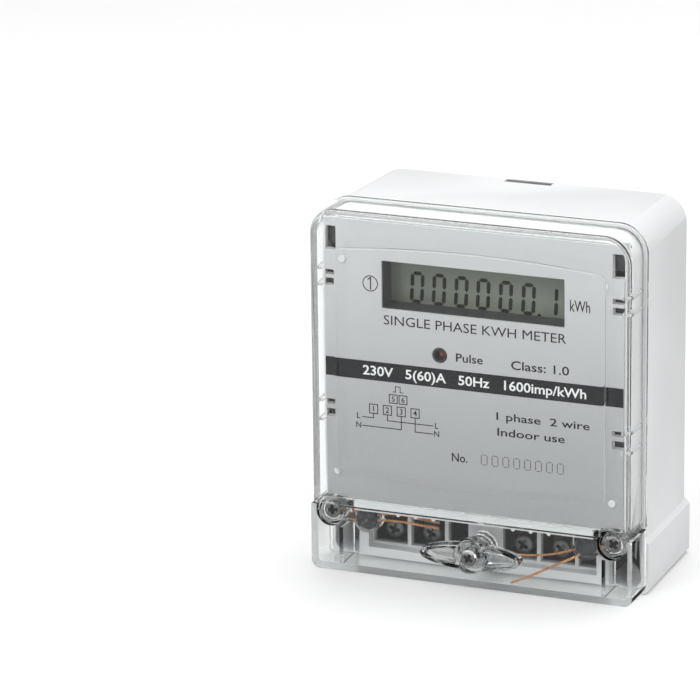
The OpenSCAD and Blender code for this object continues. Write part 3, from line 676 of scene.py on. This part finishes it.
def softbox(name, place, target, size, power, colour=(1, 1, 1)):
    data = bpy.data.lights.new(name, "AREA")
    data.shape = "RECTANGLE"
    data.size, data.size_y = size
    data.energy = power
    data.color = colour
    lamp = bpy.data.objects.new(name, data)
    bpy.context.scene.collection.objects.link(lamp)
    lamp.location = place
    lamp.rotation_euler = (Vector(target) - Vector(place)).to_track_quat("-Z", "Y").to_euler()


def studio(light):
    scene = bpy.context.scene
    scene.view_settings.view_transform = "Standard"
    scene.view_settings.look = "None"
    world = bpy.data.worlds.new("pale studio")
    scene.world = world
    world.use_nodes = True
    tree = world.node_tree
    tree.nodes.clear()
    coord = tree.nodes.new("ShaderNodeTexCoord")
    split = tree.nodes.new("ShaderNodeSeparateXYZ")
    ramp = tree.nodes.new("ShaderNodeValToRGB")
    stops = ((0.0, (0.16, 0.16, 0.16, 1)), (0.42, (0.2, 0.2, 0.2, 1)), (0.5, (0.75, 0.75, 0.76, 1)),
             (1.0, (1, 1, 1, 1)))
    while len(ramp.color_ramp.elements) < len(stops):
        ramp.color_ramp.elements.new(0.5)
    for element, (at, colour) in zip(ramp.color_ramp.elements, stops):
        element.position, element.color = at, colour
    shift = tree.nodes.new("ShaderNodeMapRange")
    shift.inputs["From Min"].default_value = -1.0
    back = tree.nodes.new("ShaderNodeBackground")
    back.inputs["Strength"].default_value = light.ambient
    end = tree.nodes.new("ShaderNodeOutputWorld")
    tree.links.new(coord.outputs["Generated"], split.inputs["Vector"])
    tree.links.new(split.outputs["Z"], shift.inputs["Value"])
    tree.links.new(shift.outputs["Result"], ramp.inputs["Fac"])
    tree.links.new(ramp.outputs["Color"], back.inputs["Color"])
    tree.links.new(back.outputs["Background"], end.inputs["Surface"])
    softbox("key softbox", (-0.55, -0.9, 1.1), (0, 0, 0.05), (0.7, 0.7), light.key)
    softbox("right softbox", (1.3, -0.35, 0.5), (0, 0, 0.05), (0.6, 0.9), light.fill)
    softbox("top softbox", (0.1, 0.35, 1.3), (0, 0, 0.05), (0.9, 0.6), light.top)
    bm = blank()
    bmesh.ops.create_grid(bm, x_segments=1, y_segments=1, size=4.0)
    rear = [e for e in bm.edges if all(v.co.y > 3.9 for v in e.verts)]
    grown = bmesh.ops.extrude_edge_only(bm, edges=rear)
    bmesh.ops.translate(bm, vec=(0, 0, 4), verts=[g for g in grown["geom"]
                                                 if isinstance(g, bmesh.types.BMVert)])
    corner = [e for e in bm.edges if all(abs(v.co.y - 4) < 0.01 and abs(v.co.z) < 0.01 for v in e.verts)]
    soften(bm, corner, 1.4, 16)
    bmesh.ops.translate(bm, vec=(0, 0, -0.0002), verts=bm.verts)
    floor = as_mesh_object(bm, "studio_floor")
    floor.data.materials.append(FINISHES["floor"])
    floor.data.shade_smooth()
    floor.visible_glossy = False


def cross_arms(x, z, y0, head, head_l, turn, front=0.3, share=1.0):
    """The two tapered arms of a cross recess, one bmesh each."""
    span, depth = head * 0.66 * share, head_l * 0.8 * share
    arms = []
    for angle in (0.0, math.pi / 2):
        bm = blank()
        bmesh.ops.create_cube(bm, size=2.0)
        for v in bm.verts:
            deep = v.co.y > 0
            v.co = Vector((v.co.x * span * (0.42 if deep else 1.0),
                           y0 - front + (depth + front) * (1 if deep else 0),
                           v.co.z * head * share * (0.13 if deep else 0.2)))
        bmesh.ops.rotate(bm, cent=(0, 0, 0), matrix=Matrix.Rotation(turn + angle, 3, "Y"), verts=bm.verts)
        bmesh.ops.translate(bm, vec=(x, 0, z), verts=bm.verts)
        arms.append(bm)
    return arms


def recess_shade(x, z, y0, head, head_l, turn):
    """Dark filling low in a cross recess, which stands for its shade."""
    return fuse(*cross_arms(x, z, y0, head, head_l, turn, -0.35, 0.96))


def phillips(x, z, y0, head, head_l, shank, y1, turn=0.0, dome=0.35):
    """Pan-head screw along Y, with a tapered cross recess and a chamfered end."""
    profile = [(0, y0), (head * 0.55, y0 + 0.02), (head * 0.86, y0 + dome * 0.5),
               (head, y0 + dome * 1.6), (head, y0 + head_l - 0.12), (head - 0.15, y0 + head_l),
               (shank, y0 + head_l), (shank, y1 - 0.3), (shank - 0.35, y1), (0, y1)]
    body = turned(profile, x, z)
    return cut(body, *cross_arms(x, z, y0, head, head_l, turn))


def main_cover(sizes):
    t = sizes.cover_wall * 1000
    outer = rounded_slab(HALF, SEAM, TOP, 0, DEEP, 8.0, 0.8, sizes.cover_edge * 1000, 0, 6)
    rim = rounded_slab(HALF + 0.8, SEAM, TOP + 0.8, DEEP - 1.4, DEEP, 8.8, 0.8, 0.35, 0, 2)
    shell = fuse(outer, rim)
    hollow = rounded_slab(HALF - t, SEAM + t, TOP - t, t, DEEP + 1, 8.0 - t, 0.6, 1.4, 0, 4)
    below = brick((-HALF + t, 3.2, SEAM - 1), (HALF - t, DEEP + 1, SEAM + t + 1))
    shell = cut(shell, hollow, below)
    window = bowed_slab(42.3, 28.8, 103.0, 2.2, -0.8, 0.4, 0.75, 4)
    shell = fuse(shell, window)
    for side in (-1, 1):
        boss, seal = side * BOSS_X, side * SEAL_X
        shell = fuse(shell, rod(boss, BOSS_Z, 1, DEEP, BOSS_R, 0.4),
                     brick((boss - BOSS_R, 1.01, SEAM + 0.01), (boss + BOSS_R, DEEP, SEAM + 2)))
        cup = fuse(rod(seal, SEAL_Z, SEAL_Y0, SEAL_Y1, SEAL_R + 1, 0.3),
                   brick((min(seal, boss), SEAL_Y0 + 0.01, SEAL_Z - 1.4),
                         (max(seal, boss), SEAL_Y1 - 0.01, SEAL_Z + 1)))
        cup = cut(cup, rod(seal, SEAL_Z, 4, 10, SEAL_R),
                  brick((seal - SEAL_R, 4, SEAL_Z), (seal + SEAL_R, 11, SEAL_Z + 6)))
        shell = fuse(shell, cup)
        for z in (88.8, 93.8, 47.0, 53.0):
            x = side * (HALF - t - 0.6)
            shell = fuse(shell, brick((x - 0.8, t - 0.1, z - 0.5), (x + 0.8, DEEP - 1.5, z + 0.5)))
        shell = cut(shell, rod(boss, BOSS_Z, -1, 3.4, 3.1), rod(boss, BOSS_Z, -1, DEEP + 1, 1.75))
    make(shell, "main_cover_moulding", "main_cover", edge=0.22, steps=2, sharp=28)


def terminal_cover(sizes):
    t = sizes.cover_wall * 1000
    outer = rounded_slab(50.7, 0.3, 20.5, 0, 12.7, 0.1, 2.5, 1.5, 0, 5)
    hollow = rounded_slab(50.7 - t, 0.3 + t, 24, t, 14, 0.1, 1.4, 0.9, 0, 3)
    shell = cut(outer, hollow)
    for side in (-1, 1):
        x = side * (BOSS_X - 2.9)
        shell = fuse(shell, brick((x - 0.6, t - 0.1, 1), (x + 0.6, DEEP - 2, BOSS_Z - 5)))
        x = side * BOSS_X
        shell = cut(shell, rod(x, BOSS_Z, -1, 14, 4.5),
                    brick((x - 4.5, -1, BOSS_Z), (x + 4.5, 14, 21.5)))
    shell = cut(shell, rod(0, SCREW_AXIS, -1, t + 1, 5.35), oval_slab(15.85, 3.95, SCREW_AXIS, -1, t + 1))
    make(shell, "terminal_cover_moulding", "terminal_cover", edge=0.4, steps=3, sharp=28)


def winged_sleeve(sizes):
    ring = cut(oval_slab(15.7, 3.8, SCREW_AXIS, -1, 4, 0.6, 0.4), oval_slab(14.2, 2.6, SCREW_AXIS, -2, 6))
    tube = turned([(0, 5.2), (4.4, 5.2), (4.4, 7.0), (4.05, 7.3), (4.05, 8.2), (4.4, 8.5), (4.4, 9.9),
                   (4.05, 10.2), (4.05, 11.0), (4.4, 11.3), (4.4, 12.8), (0, 12.8)], 0, SCREW_AXIS)
    sleeve = fuse(ring, rod(0, SCREW_AXIS, -1, 5.5, 5.2, 0.9, 0.4), tube)
    sleeve = cut(sleeve, rod(0, SCREW_AXIS, -2, 2, 2.9), rod(0, SCREW_AXIS, -2, 14, 1.9))
    make(sleeve, "winged_sleeve_moulding", "winged_sleeve", edge=0.15, steps=2, sharp=28)


def fixing_screws(sizes):
    heads = [(side * BOSS_X, BOSS_Z, 1.4, 2.95, 2, 0.4 + 0.5 * side) for side in (-1, 1)]
    cover = together(*[phillips(*head[:5], 1.6, 26, head[5]) for head in heads])
    make(cover, "cover_screws_cross_head", "main_cover_screws", edge=0.08)
    shades = together(*[recess_shade(*head) for head in heads])
    make(shades, "cover_screws_recess_shade", "main_cover_screws", "dark_bezel", ())
    middle = phillips(0, SCREW_AXIS, -1.5, 2.6, 2.4, 1.75, 24, 0.5)
    make(middle, "terminal_cover_screw_cross_head", "terminal_cover_screw", edge=0.08)
    make(recess_shade(0, SCREW_AXIS, -1.5, 2.6, 2.4, 0.5), "terminal_cover_screw_recess_shade",
         "terminal_cover_screw", "dark_bezel", ())
    refined("screw_retainer", "screw_retainer_ring", 0.08)


def clamp_screws(sizes):
    for node in sorted(frame["nodes"]):
        if "_screw_" in node and node.split("_")[0] in ("lower", "upper", "pulse"):
            a, b = low(node), high(node)
            x, z = (a.x + b.x) / 2, (a.z + b.z) / 2
            head = (b.x - a.x) / 2
            shank = 1.25 if node.startswith("pulse") else head - 0.9
            head_l = 1.8 if node.startswith("pulse") else 2.6
            turn = (sum(map(ord, node)) * 7 % 90) * math.pi / 180
            screw = phillips(x, z, a.y, head, head_l, shank, b.y, turn, 0.3)
            make(screw, node + "_cross_head", node, edge=0.06)


def lead_seals(sizes):
    parts = []
    for side in (-1, 1):
        x, y0, y1, r = side * SEAL_X, SEAL_Y0, SEAL_Y1, SEAL_R
        disc = turned([(0, y0 + 0.35), (r * 0.5, y0 + 0.12), (r * 0.82, y0 + 0.02), (r - 0.35, y0 + 0.12),
                       (r - 0.06, y0 + 0.6), (r, (y0 + y1) / 2), (r - 0.06, y1 - 0.5),
                       (r - 0.4, y1 - 0.05), (0, y1)], x, SEAL_Z, 48)
        for dx, dz, size in ((-1.2, 0.9, 0.9), (1.1, -0.7, 0.8), (0.4, 1.5, 0.6)):
            dent = blank()
            bmesh.ops.create_icosphere(dent, subdivisions=2, radius=size)
            bmesh.ops.translate(dent, vec=(x + side * dx, y0 - size * 0.45, SEAL_Z + dz), verts=dent.verts)
            disc = shape_with(disc, dent)
        groove = brick((x - r * 0.75, y0 - 0.6, SEAL_Z - 0.25), (x + r * 0.75, y0 + 0.35, SEAL_Z + 0.2))
        parts.append(shape_with(disc, groove))
    make(together(*parts), "pressed_lead_seals", "lead_seals", edge=0.1, steps=2, sharp=40)


def face_seven(bm, x, z, h, w, lit, y, thick, slant):
    """Seven-part figure: bars with pointed ends, leaning over by slant."""
    t = thick / 2
    half = h / 2
    bars = {"a": ((-w / 2, half), (w / 2, half)), "d": ((-w / 2, -half), (w / 2, -half)),
            "g": ((-w / 2, 0), (w / 2, 0)), "f": ((-w / 2, half), (-w / 2, 0)),
            "b": ((w / 2, half), (w / 2, 0)), "e": ((-w / 2, 0), (-w / 2, -half)),
            "c": ((w / 2, 0), (w / 2, -half))}
    for key in lit:
        (x0, z0), (x1, z1) = bars[key]
        a, b = Vector((x0, z0)), Vector((x1, z1))
        d = (b - a).normalized()
        n = Vector((-d.y, d.x))
        gap = 0.14
        outline = [a + d * gap, a + d * (gap + t) + n * t, b - d * (gap + t) + n * t, b - d * gap,
                   b - d * (gap + t) - n * t, a + d * (gap + t) - n * t]
        corners = [bm.verts.new((x + p.x + slant * p.y, y, z + p.y)) for p in outline]
        bm.faces.new(corners)


def display_figures(sizes):
    flat = blank()
    y = GLASS_Y
    slant = math.tan(math.radians(3.2))
    for x in (-20.3, -13.4, -6.4, 0.45, 7.5, 14.6):
        face_seven(flat, x, 87.35, 8.6, 3.2, "abcdef", y, 1.15, slant)
    face_seven(flat, 21.6, 87.35, 8.6, 3.2, "bc", y, 1.15, slant)
    dot = bmesh.ops.create_circle(flat, cap_ends=True, segments=12, radius=0.62)
    bmesh.ops.rotate(flat, cent=(0, 0, 0), matrix=Matrix.Rotation(math.pi / 2, 3, "X"), verts=dot["verts"])
    bmesh.ops.translate(flat, vec=(17.9, y, 82.7), verts=dot["verts"])
    solid = extruded(flat, y - 0.05, y + 0.05)
    make(solid, "display_figures", "lcd_glass", "digits", ())


def lettering(words, x, z, height, width=None, lean=0.0, weight=0.012):
    """Words as thin solid type, centred on x, with capitals of the given height."""
    curve = bpy.data.curves.new("type", "FONT")
    curve.body = words
    curve.align_x = "CENTER"
    curve.extrude = 0.004
    curve.offset = weight
    curve.resolution_u = 3
    typed = bpy.data.objects.new("type", curve)
    bpy.context.scene.collection.objects.link(typed)
    bm = blank()
    bm.from_mesh(typed.evaluated_get(bpy.context.evaluated_depsgraph_get()).to_mesh())
    bpy.data.objects.remove(typed)
    bpy.data.curves.remove(curve)
    bmesh.ops.remove_doubles(bm, verts=bm.verts, dist=0.0001)
    xs = [v.co.x for v in bm.verts]
    scale = height / 0.69
    wide = scale if width is None else width / (max(xs) - min(xs))
    middle = (max(xs) + min(xs)) / 2
    for v in bm.verts:
        v.co = Vector((x + (v.co.x - middle) * wide + lean * v.co.y * scale,
                       PLATE_Y - 0.012 - v.co.z * 2.0, z + v.co.y * scale))
    return bm


def stroke(points, width):
    """Printed line through points on the plate."""
    bm = blank()
    for a, b in zip(points, points[1:]):
        p, q = Vector(a), Vector(b)
        d = (q - p).normalized() * width / 2
        n = Vector((-d.y, d.x))
        corners = (p - d - n, q + d - n, q + d + n, p - d + n)
        bm.faces.new([bm.verts.new((c.x, PLATE_Y - 0.02, c.y)) for c in corners])
    return extruded_print(bm)


def dot_figures(words, x, z, height, pitch):
    """Row of noughts, each printed as a ring of small dots."""
    bm = blank()
    for i in range(len(words)):
        for col in range(5):
            for row in range(9):
                edge = (col in (0, 4)) != (row in (0, 8))
                if edge:
                    made = bmesh.ops.create_circle(bm, cap_ends=True, segments=6, radius=0.17)["verts"]
                    place = Vector((x + i * pitch + col * 0.46, z + row * height / 8, 0))
                    bmesh.ops.translate(bm, vec=place, verts=made)
    bmesh.ops.rotate(bm, cent=(0, 0, 0), matrix=Matrix.Rotation(math.pi / 2, 3, "X"), verts=bm.verts)
    return extruded_print(bm)


def extruded_print(bm, lift=0.02):
    return extruded(bm, PLATE_Y - lift, PLATE_Y - 0.002)


def frame_line(x0, x1, z0, z1, width):
    return stroke([(x0, z0), (x1, z0), (x1, z1), (x0, z1), (x0, z0)], width)


def plate_printing(sizes):
    dark = [
        lettering("kWh", 33.3, 87.8, 3.4, 6.2, weight=0.006),
        lettering("SINGLE PHASE KWH METER", 0.6, 77.8, 2.85, 57.0, weight=0.0),
        lettering("Pulse", -1.0, 68.8, 2.5, 8.4),
        lettering("Class: 1.0", 21.0, 68.3, 2.6, 18.0),
        lettering("1 phase  2 wire", 21.9, 52.4, 2.3, 29.0),
        lettering("Indoor use", 18.2, 47.6, 2.3, 21.0),
        lettering("No.", -4.2, 38.0, 2.6, 4.9),
        stroke([(-32.75, 91.1), (-32.0, 91.6), (-32.0, 88.1)], 0.38),
    ]
    dark.append(dot_figures("00000000", 2.6, 38.0, 3.1, 3.4))
    ring = blank()
    bmesh.ops.create_circle(ring, cap_ends=True, segments=40, radius=2.45)
    bmesh.ops.inset_region(ring, faces=ring.faces[:], thickness=0.3, use_boundary=True,
                           use_even_offset=True)
    inner = [f for f in ring.faces if len(f.verts) > 4]
    bmesh.ops.delete(ring, geom=inner, context="FACES_ONLY")
    bmesh.ops.rotate(ring, cent=(0, 0, 0), matrix=Matrix.Rotation(math.pi / 2, 3, "X"), verts=ring.verts)
    bmesh.ops.translate(ring, vec=(-32.1, 0, 89.8), verts=ring.verts)
    dark.append(extruded_print(ring))
    bar = rounded_slab(46.68, 60.2, 66.0, PLATE_Y - 0.02, PLATE_Y - 0.002)
    dark.append(bar)
    boxes = (-31.4, -27.0, -22.6, -18.2)
    for i, x in enumerate(boxes):
        dark.append(frame_line(x - 1.3, x + 1.3, 50.0, 52.8, 0.28))
        dark.append(lettering(str(i + 1), x, 50.6, 1.7))
    for i, x in enumerate((-25.1, -22.0)):
        dark.append(frame_line(x - 1.25, x + 1.25, 53.8, 56.4, 0.28))
        dark.append(lettering(str(i + 5), x, 54.3, 1.6))
    dark += [
        stroke([(-25.1, 57.3), (-24.4, 57.3), (-24.4, 59.0), (-22.9, 59.0), (-22.9, 57.3),
                (-22.0, 57.3)], 0.25),
        stroke([(-34.9, 48.6), (boxes[0], 48.6), (boxes[0], 50.0)], 0.28),
        stroke([(-34.9, 45.9), (boxes[2], 45.9), (boxes[2], 50.0)], 0.28),
        stroke([(boxes[1], 50.0), (boxes[1], 48.2), (-12.6, 48.2)], 0.28),
        stroke([(boxes[3], 50.0), (boxes[3], 45.7), (-12.6, 45.7)], 0.28),
        lettering("L", -36.2, 48.0, 1.7), lettering("N", -36.2, 45.2, 1.7),
        lettering("L", -11.4, 47.5, 1.7), lettering("N", -11.4, 45.0, 1.7),
    ]
    make(together(*dark), "plate_printing_dark", "nameplate", "ink_dark", (), sharp=60)
    light = lettering("230V   5(60)A   50Hz   1600imp/kWh", 0.3, 61.8, 2.8, 70.0, weight=0.016)
    for v in light.verts:
        v.co.y -= 0.02
    make(light, "plate_printing_light", "nameplate", "ink_white", (), sharp=60)


def pulse_lamp(sizes):
    x, z = -10.3, 70.1
    dome = turned([(0, PLATE_Y + 1.3), (0.7, PLATE_Y + 1.42), (1.25, PLATE_Y + 1.9), (1.5, PLATE_Y + 2.8),
                   (1.5, 16.9), (0, 16.9)], x, z, 32)
    make(dome, "pulse_lamp_dome", "pulse_led")
    sleeve = turned([(1.7, PLATE_Y + 0.1), (1.85, PLATE_Y - 0.1), (2.15, PLATE_Y - 0.1),
                     (2.3, PLATE_Y + 0.05), (2.3, 16.9), (1.7, 16.9), (1.7, PLATE_Y + 0.1)], x, z, 48)
    make(sleeve, "pulse_lamp_sleeve", "led_sleeve")


def painted_slot_shade_strips(sizes):
    """Painted shade: dark strips behind the slots in the plate's edges, put where there is only shade."""
    back = PLATE_Y + 2.45
    strips = together(*[brick((s * 44.8 - 1.9, back, a), (s * 44.8 + 1.9, back + 0.8, b), 0.2)
                        for s in (-1, 1) for a, b in ((100.6, 107.7), (87.6, 93.2), (47.0, 53.2))])
    make(strips, "carrier_painted_slot_shade", "panel_frame", "dark_bezel", ())


def carrier_walls(sizes):
    """Thin white walls behind the plate's edges, which close off the board at the sides and the top."""
    outer = rounded_slab(PLATE_HALF + 0.9, SEAM + 1.4, TOP - 2.5, PLATE_Y + 0.9, DEEP + 3, 6.0, 0.5)
    inner = rounded_slab(PLATE_HALF + 0.1, SEAM - 3, TOP - 3.3, PLATE_Y, DEEP + 5, 5.2, 0.1)
    make(cut(outer, inner), "carrier_side_walls", "panel_frame", None, (), edge=0.15)


def clip_spring():
    coil = refined("clip_spring", "clip_spring_coil", 0.0)
    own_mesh(coil)


REFINED = (
    ("rear_case", "rear_case_moulding", 0.35), ("nameplate", "nameplate_sheet", 0.08),
    ("nameplate_pins", "nameplate_pin_heads", 0.2), ("panel_frame", "panel_frame_moulding", 0.2),
    ("lcd_bezel", "display_bezel", 0.12), ("lcd_glass", "display_glass", 0.1),
    ("terminal_block", "terminal_block_moulding", 0.25), ("din_clip", "rail_clip_moulding", 0.25),
    ("hanging_lug", "hanging_lug_plate", 0.15), ("cover_gasket", "cover_gasket_strip", 0.1),
    *((f"terminal_{n}", f"terminal_{n}_brass", 0.2) for n in (1, 2, 3, 4)),
    ("pulse_terminals", "pulse_terminals_brass", 0.15),
)


# Settings, operators and panel

def length(name, description, default, smallest, largest):
    return FloatProperty(name=name, description=description, default=default, min=smallest, max=largest,
                         unit="LENGTH", precision=4)


def colour(name, description, default):
    return FloatVectorProperty(name=name, description=description, default=default, size=3,
                               subtype="COLOR", min=0, max=1)


def power(name, description, default):
    return FloatProperty(name=name, description=description, default=default, min=0, max=200, unit="POWER")


def angle(name, description, degrees):
    return FloatProperty(name=name, description=description, default=math.radians(degrees),
                         subtype="ANGLE", unit="ROTATION")


class MeterSizes(bpy.types.PropertyGroup):
    """Sizes that a maker would change"""
    cover_wall: length("Cover wall", "Wall thickness of both clear covers", 0.0018, 0.001, 0.0025)
    cover_edge: length("Cover edge", "Radius of the main cover's front edge", 0.0024, 0.0005, 0.004)
    wire: length("Seal wire", "Diameter of the two twisted strands together", 0.0009, 0.0006, 0.0012)
    twist: length("Twist length", "Length of one full twist of the seal wire", 0.0022, 0.001, 0.01)
    spring_keep: FloatProperty(name="Spring kept", description="Share of its height that the spring keeps",
                               default=0.66, min=0.5, max=1.0, subtype="FACTOR")


class MeterColours(bpy.types.PropertyGroup):
    """Colours that a user would change"""
    case: colour("Case", "White moulded case", (0.745, 0.75, 0.755))
    # Painted light and shade: the plate's colour near its top and near its foot, blended by height.
    plate_painted_lit_top: colour("Plate, upper part", "Silver plate near its top", (0.6, 0.605, 0.61))
    plate_painted_shaded_foot: colour("Plate, lower part", "Silver plate near its foot", (0.38, 0.385, 0.39))
    display: colour("Display", "Background of the display", (0.19, 0.215, 0.165))
    block: colour("Terminal block", "Light grey block behind the lower cover", (0.74, 0.75, 0.755))
    copper: colour("Seal wire", "Bare copper of the seal wires", (0.78, 0.42, 0.2))
    lead: colour("Seals", "Dull lead of the pressed seals", (0.05, 0.053, 0.058))


class MeterLight(bpy.types.PropertyGroup):
    """Strengths of the studio's lights"""
    ambient: FloatProperty(name="Surroundings", description="Strength of the pale surroundings",
                           default=0.8, min=0, max=5)
    key: power("Key light", "Power of the front left softbox", 7.0)
    fill: power("Fill light", "Power of the right softbox", 3.0)
    top: power("Top light", "Power of the softbox overhead", 7.0)


class MeterView(bpy.types.PropertyGroup):
    """Where the camera stands"""
    azimuth: angle("Azimuth", "Turn of the camera to the meter's right", 22.632)
    elevation: angle("Elevation", "Height of the camera as an angle", 16.97)
    roll: angle("Roll", "Turn of the picture about its middle", -0.702)
    distance: FloatProperty(name="Distance", description="Distance from the target",
                            default=1.434175, min=0.2, max=10, unit="LENGTH")
    lens: FloatProperty(name="Lens", description="Focal length in millimetres", default=245.37,
                        min=20, max=500)
    shift_x: FloatProperty(name="Shift across", description="Lens shift across the frame", default=0.0111)
    shift_y: FloatProperty(name="Shift up", description="Lens shift up the frame", default=-0.0342)
    target: FloatVectorProperty(name="Target", description="Point that the camera looks at", size=3,
                                subtype="TRANSLATION", unit="LENGTH",
                                default=(-0.050292, -0.00335, 0.068658))


class METER_OT_camera(bpy.types.Operator):
    """Place the camera"""
    bl_idname = "meter.camera"
    bl_label = "Camera"

    def execute(self, context):
        place_camera(context.scene.meter_view)
        return {"FINISHED"}


class METER_OT_finishes(bpy.types.Operator):
    """Make every material of the meter"""
    bl_idname = "meter.finishes"
    bl_label = "Materials"

    def execute(self, context):
        mix_finishes(context.scene.meter_colours)
        return {"FINISHED"}


class METER_OT_wires(bpy.types.Operator):
    """Twist the four copper seal wires along their routes"""
    bl_idname = "meter.seal_wires"
    bl_label = "Seal wires"

    def execute(self, context):
        seal_wires(context.scene.meter_sizes)
        return {"FINISHED"}


class METER_OT_studio(bpy.types.Operator):
    """Set up the floor, the surroundings and the lights"""
    bl_idname = "meter.studio"
    bl_label = "Studio"

    def execute(self, context):
        studio(context.scene.meter_light)
        return {"FINISHED"}


class METER_OT_plain(bpy.types.Operator):
    """Give each hidden part that stays as it is its own material"""
    bl_idname = "meter.hidden_parts"
    bl_label = "Parts behind the plate"

    def execute(self, context):
        for node, piece in frame["nodes"].items():
            piece.data.materials.clear()
            piece.data.materials.append(FINISHES[SLOT_OF[node]])
        return {"FINISHED"}


class METER_OT_mouldings(bpy.types.Operator):
    """Make the case, plate, carrier, block, clip and other parts with softened edges"""
    bl_idname = "meter.mouldings"
    bl_label = "Mouldings and sheet parts"

    def execute(self, context):
        for node, name, edge in REFINED:
            refined(node, name, edge)
        carrier_walls(context.scene.meter_sizes)
        painted_slot_shade_strips(context.scene.meter_sizes)
        clip_spring()
        return {"FINISHED"}


class METER_OT_main_cover(bpy.types.Operator):
    """Make the clear main cover with its raised window, screw bosses and seal cups"""
    bl_idname = "meter.main_cover"
    bl_label = "Main cover"

    def execute(self, context):
        main_cover(context.scene.meter_sizes)
        return {"FINISHED"}


class METER_OT_terminal_cover(bpy.types.Operator):
    """Make the clear terminal cover and the winged sleeve in it"""
    bl_idname = "meter.terminal_cover"
    bl_label = "Terminal cover"

    def execute(self, context):
        terminal_cover(context.scene.meter_sizes)
        winged_sleeve(context.scene.meter_sizes)
        return {"FINISHED"}


class METER_OT_screws(bpy.types.Operator):
    """Make the cover screws and the terminals' clamp screws"""
    bl_idname = "meter.screws"
    bl_label = "Screws"

    def execute(self, context):
        fixing_screws(context.scene.meter_sizes)
        clamp_screws(context.scene.meter_sizes)
        return {"FINISHED"}


class METER_OT_seals(bpy.types.Operator):
    """Press the two lead seals"""
    bl_idname = "meter.lead_seals"
    bl_label = "Lead seals"

    def execute(self, context):
        lead_seals(context.scene.meter_sizes)
        return {"FINISHED"}


class METER_OT_printing(bpy.types.Operator):
    """Print the plate and set the display's figures and the pulse lamp"""
    bl_idname = "meter.printing"
    bl_label = "Printing, figures and lamp"

    def execute(self, context):
        plate_printing(context.scene.meter_sizes)
        display_figures(context.scene.meter_sizes)
        pulse_lamp(context.scene.meter_sizes)
        return {"FINISHED"}


STEPS = (METER_OT_camera, METER_OT_finishes, METER_OT_wires, METER_OT_studio, METER_OT_plain,
         METER_OT_mouldings, METER_OT_main_cover, METER_OT_terminal_cover, METER_OT_screws,
         METER_OT_seals, METER_OT_printing)


class METER_PT_panel(bpy.types.Panel):
    """Lists the meter's sizes, colours and steps"""
    bl_idname = "METER_PT_panel"
    bl_label = "Electricity meter"
    bl_space_type = "VIEW_3D"
    bl_region_type = "UI"
    bl_category = "Meter"

    def draw(self, context):
        for group in (context.scene.meter_sizes, context.scene.meter_colours,
                      context.scene.meter_light, context.scene.meter_view):
            box = self.layout.box()
            for name in group.__annotations__:
                box.prop(group, name)
        for step in STEPS:
            self.layout.operator(step.bl_idname)


GROUPS = {"meter_sizes": MeterSizes, "meter_colours": MeterColours, "meter_light": MeterLight,
          "meter_view": MeterView}
CLASSES = tuple(GROUPS.values()) + STEPS + (METER_PT_panel,)


def register():
    for made in CLASSES:
        bpy.utils.register_class(made)
    for name, group in GROUPS.items():
        setattr(bpy.types.Scene, name, PointerProperty(type=group))


def unregister():
    for name in GROUPS:
        delattr(bpy.types.Scene, name)
    for made in reversed(CLASSES):
        bpy.utils.unregister_class(made)


def main():
    register()
    bpy.ops.meter.camera()
    bpy.ops.meter.finishes()
    bpy.ops.meter.seal_wires()
    bpy.ops.meter.studio()
    bpy.ops.meter.hidden_parts()
    bpy.ops.meter.mouldings()
    bpy.ops.meter.main_cover()
    bpy.ops.meter.terminal_cover()
    bpy.ops.meter.screws()
    bpy.ops.meter.lead_seals()
    bpy.ops.meter.printing()


if __name__ == "__main__":
    main()
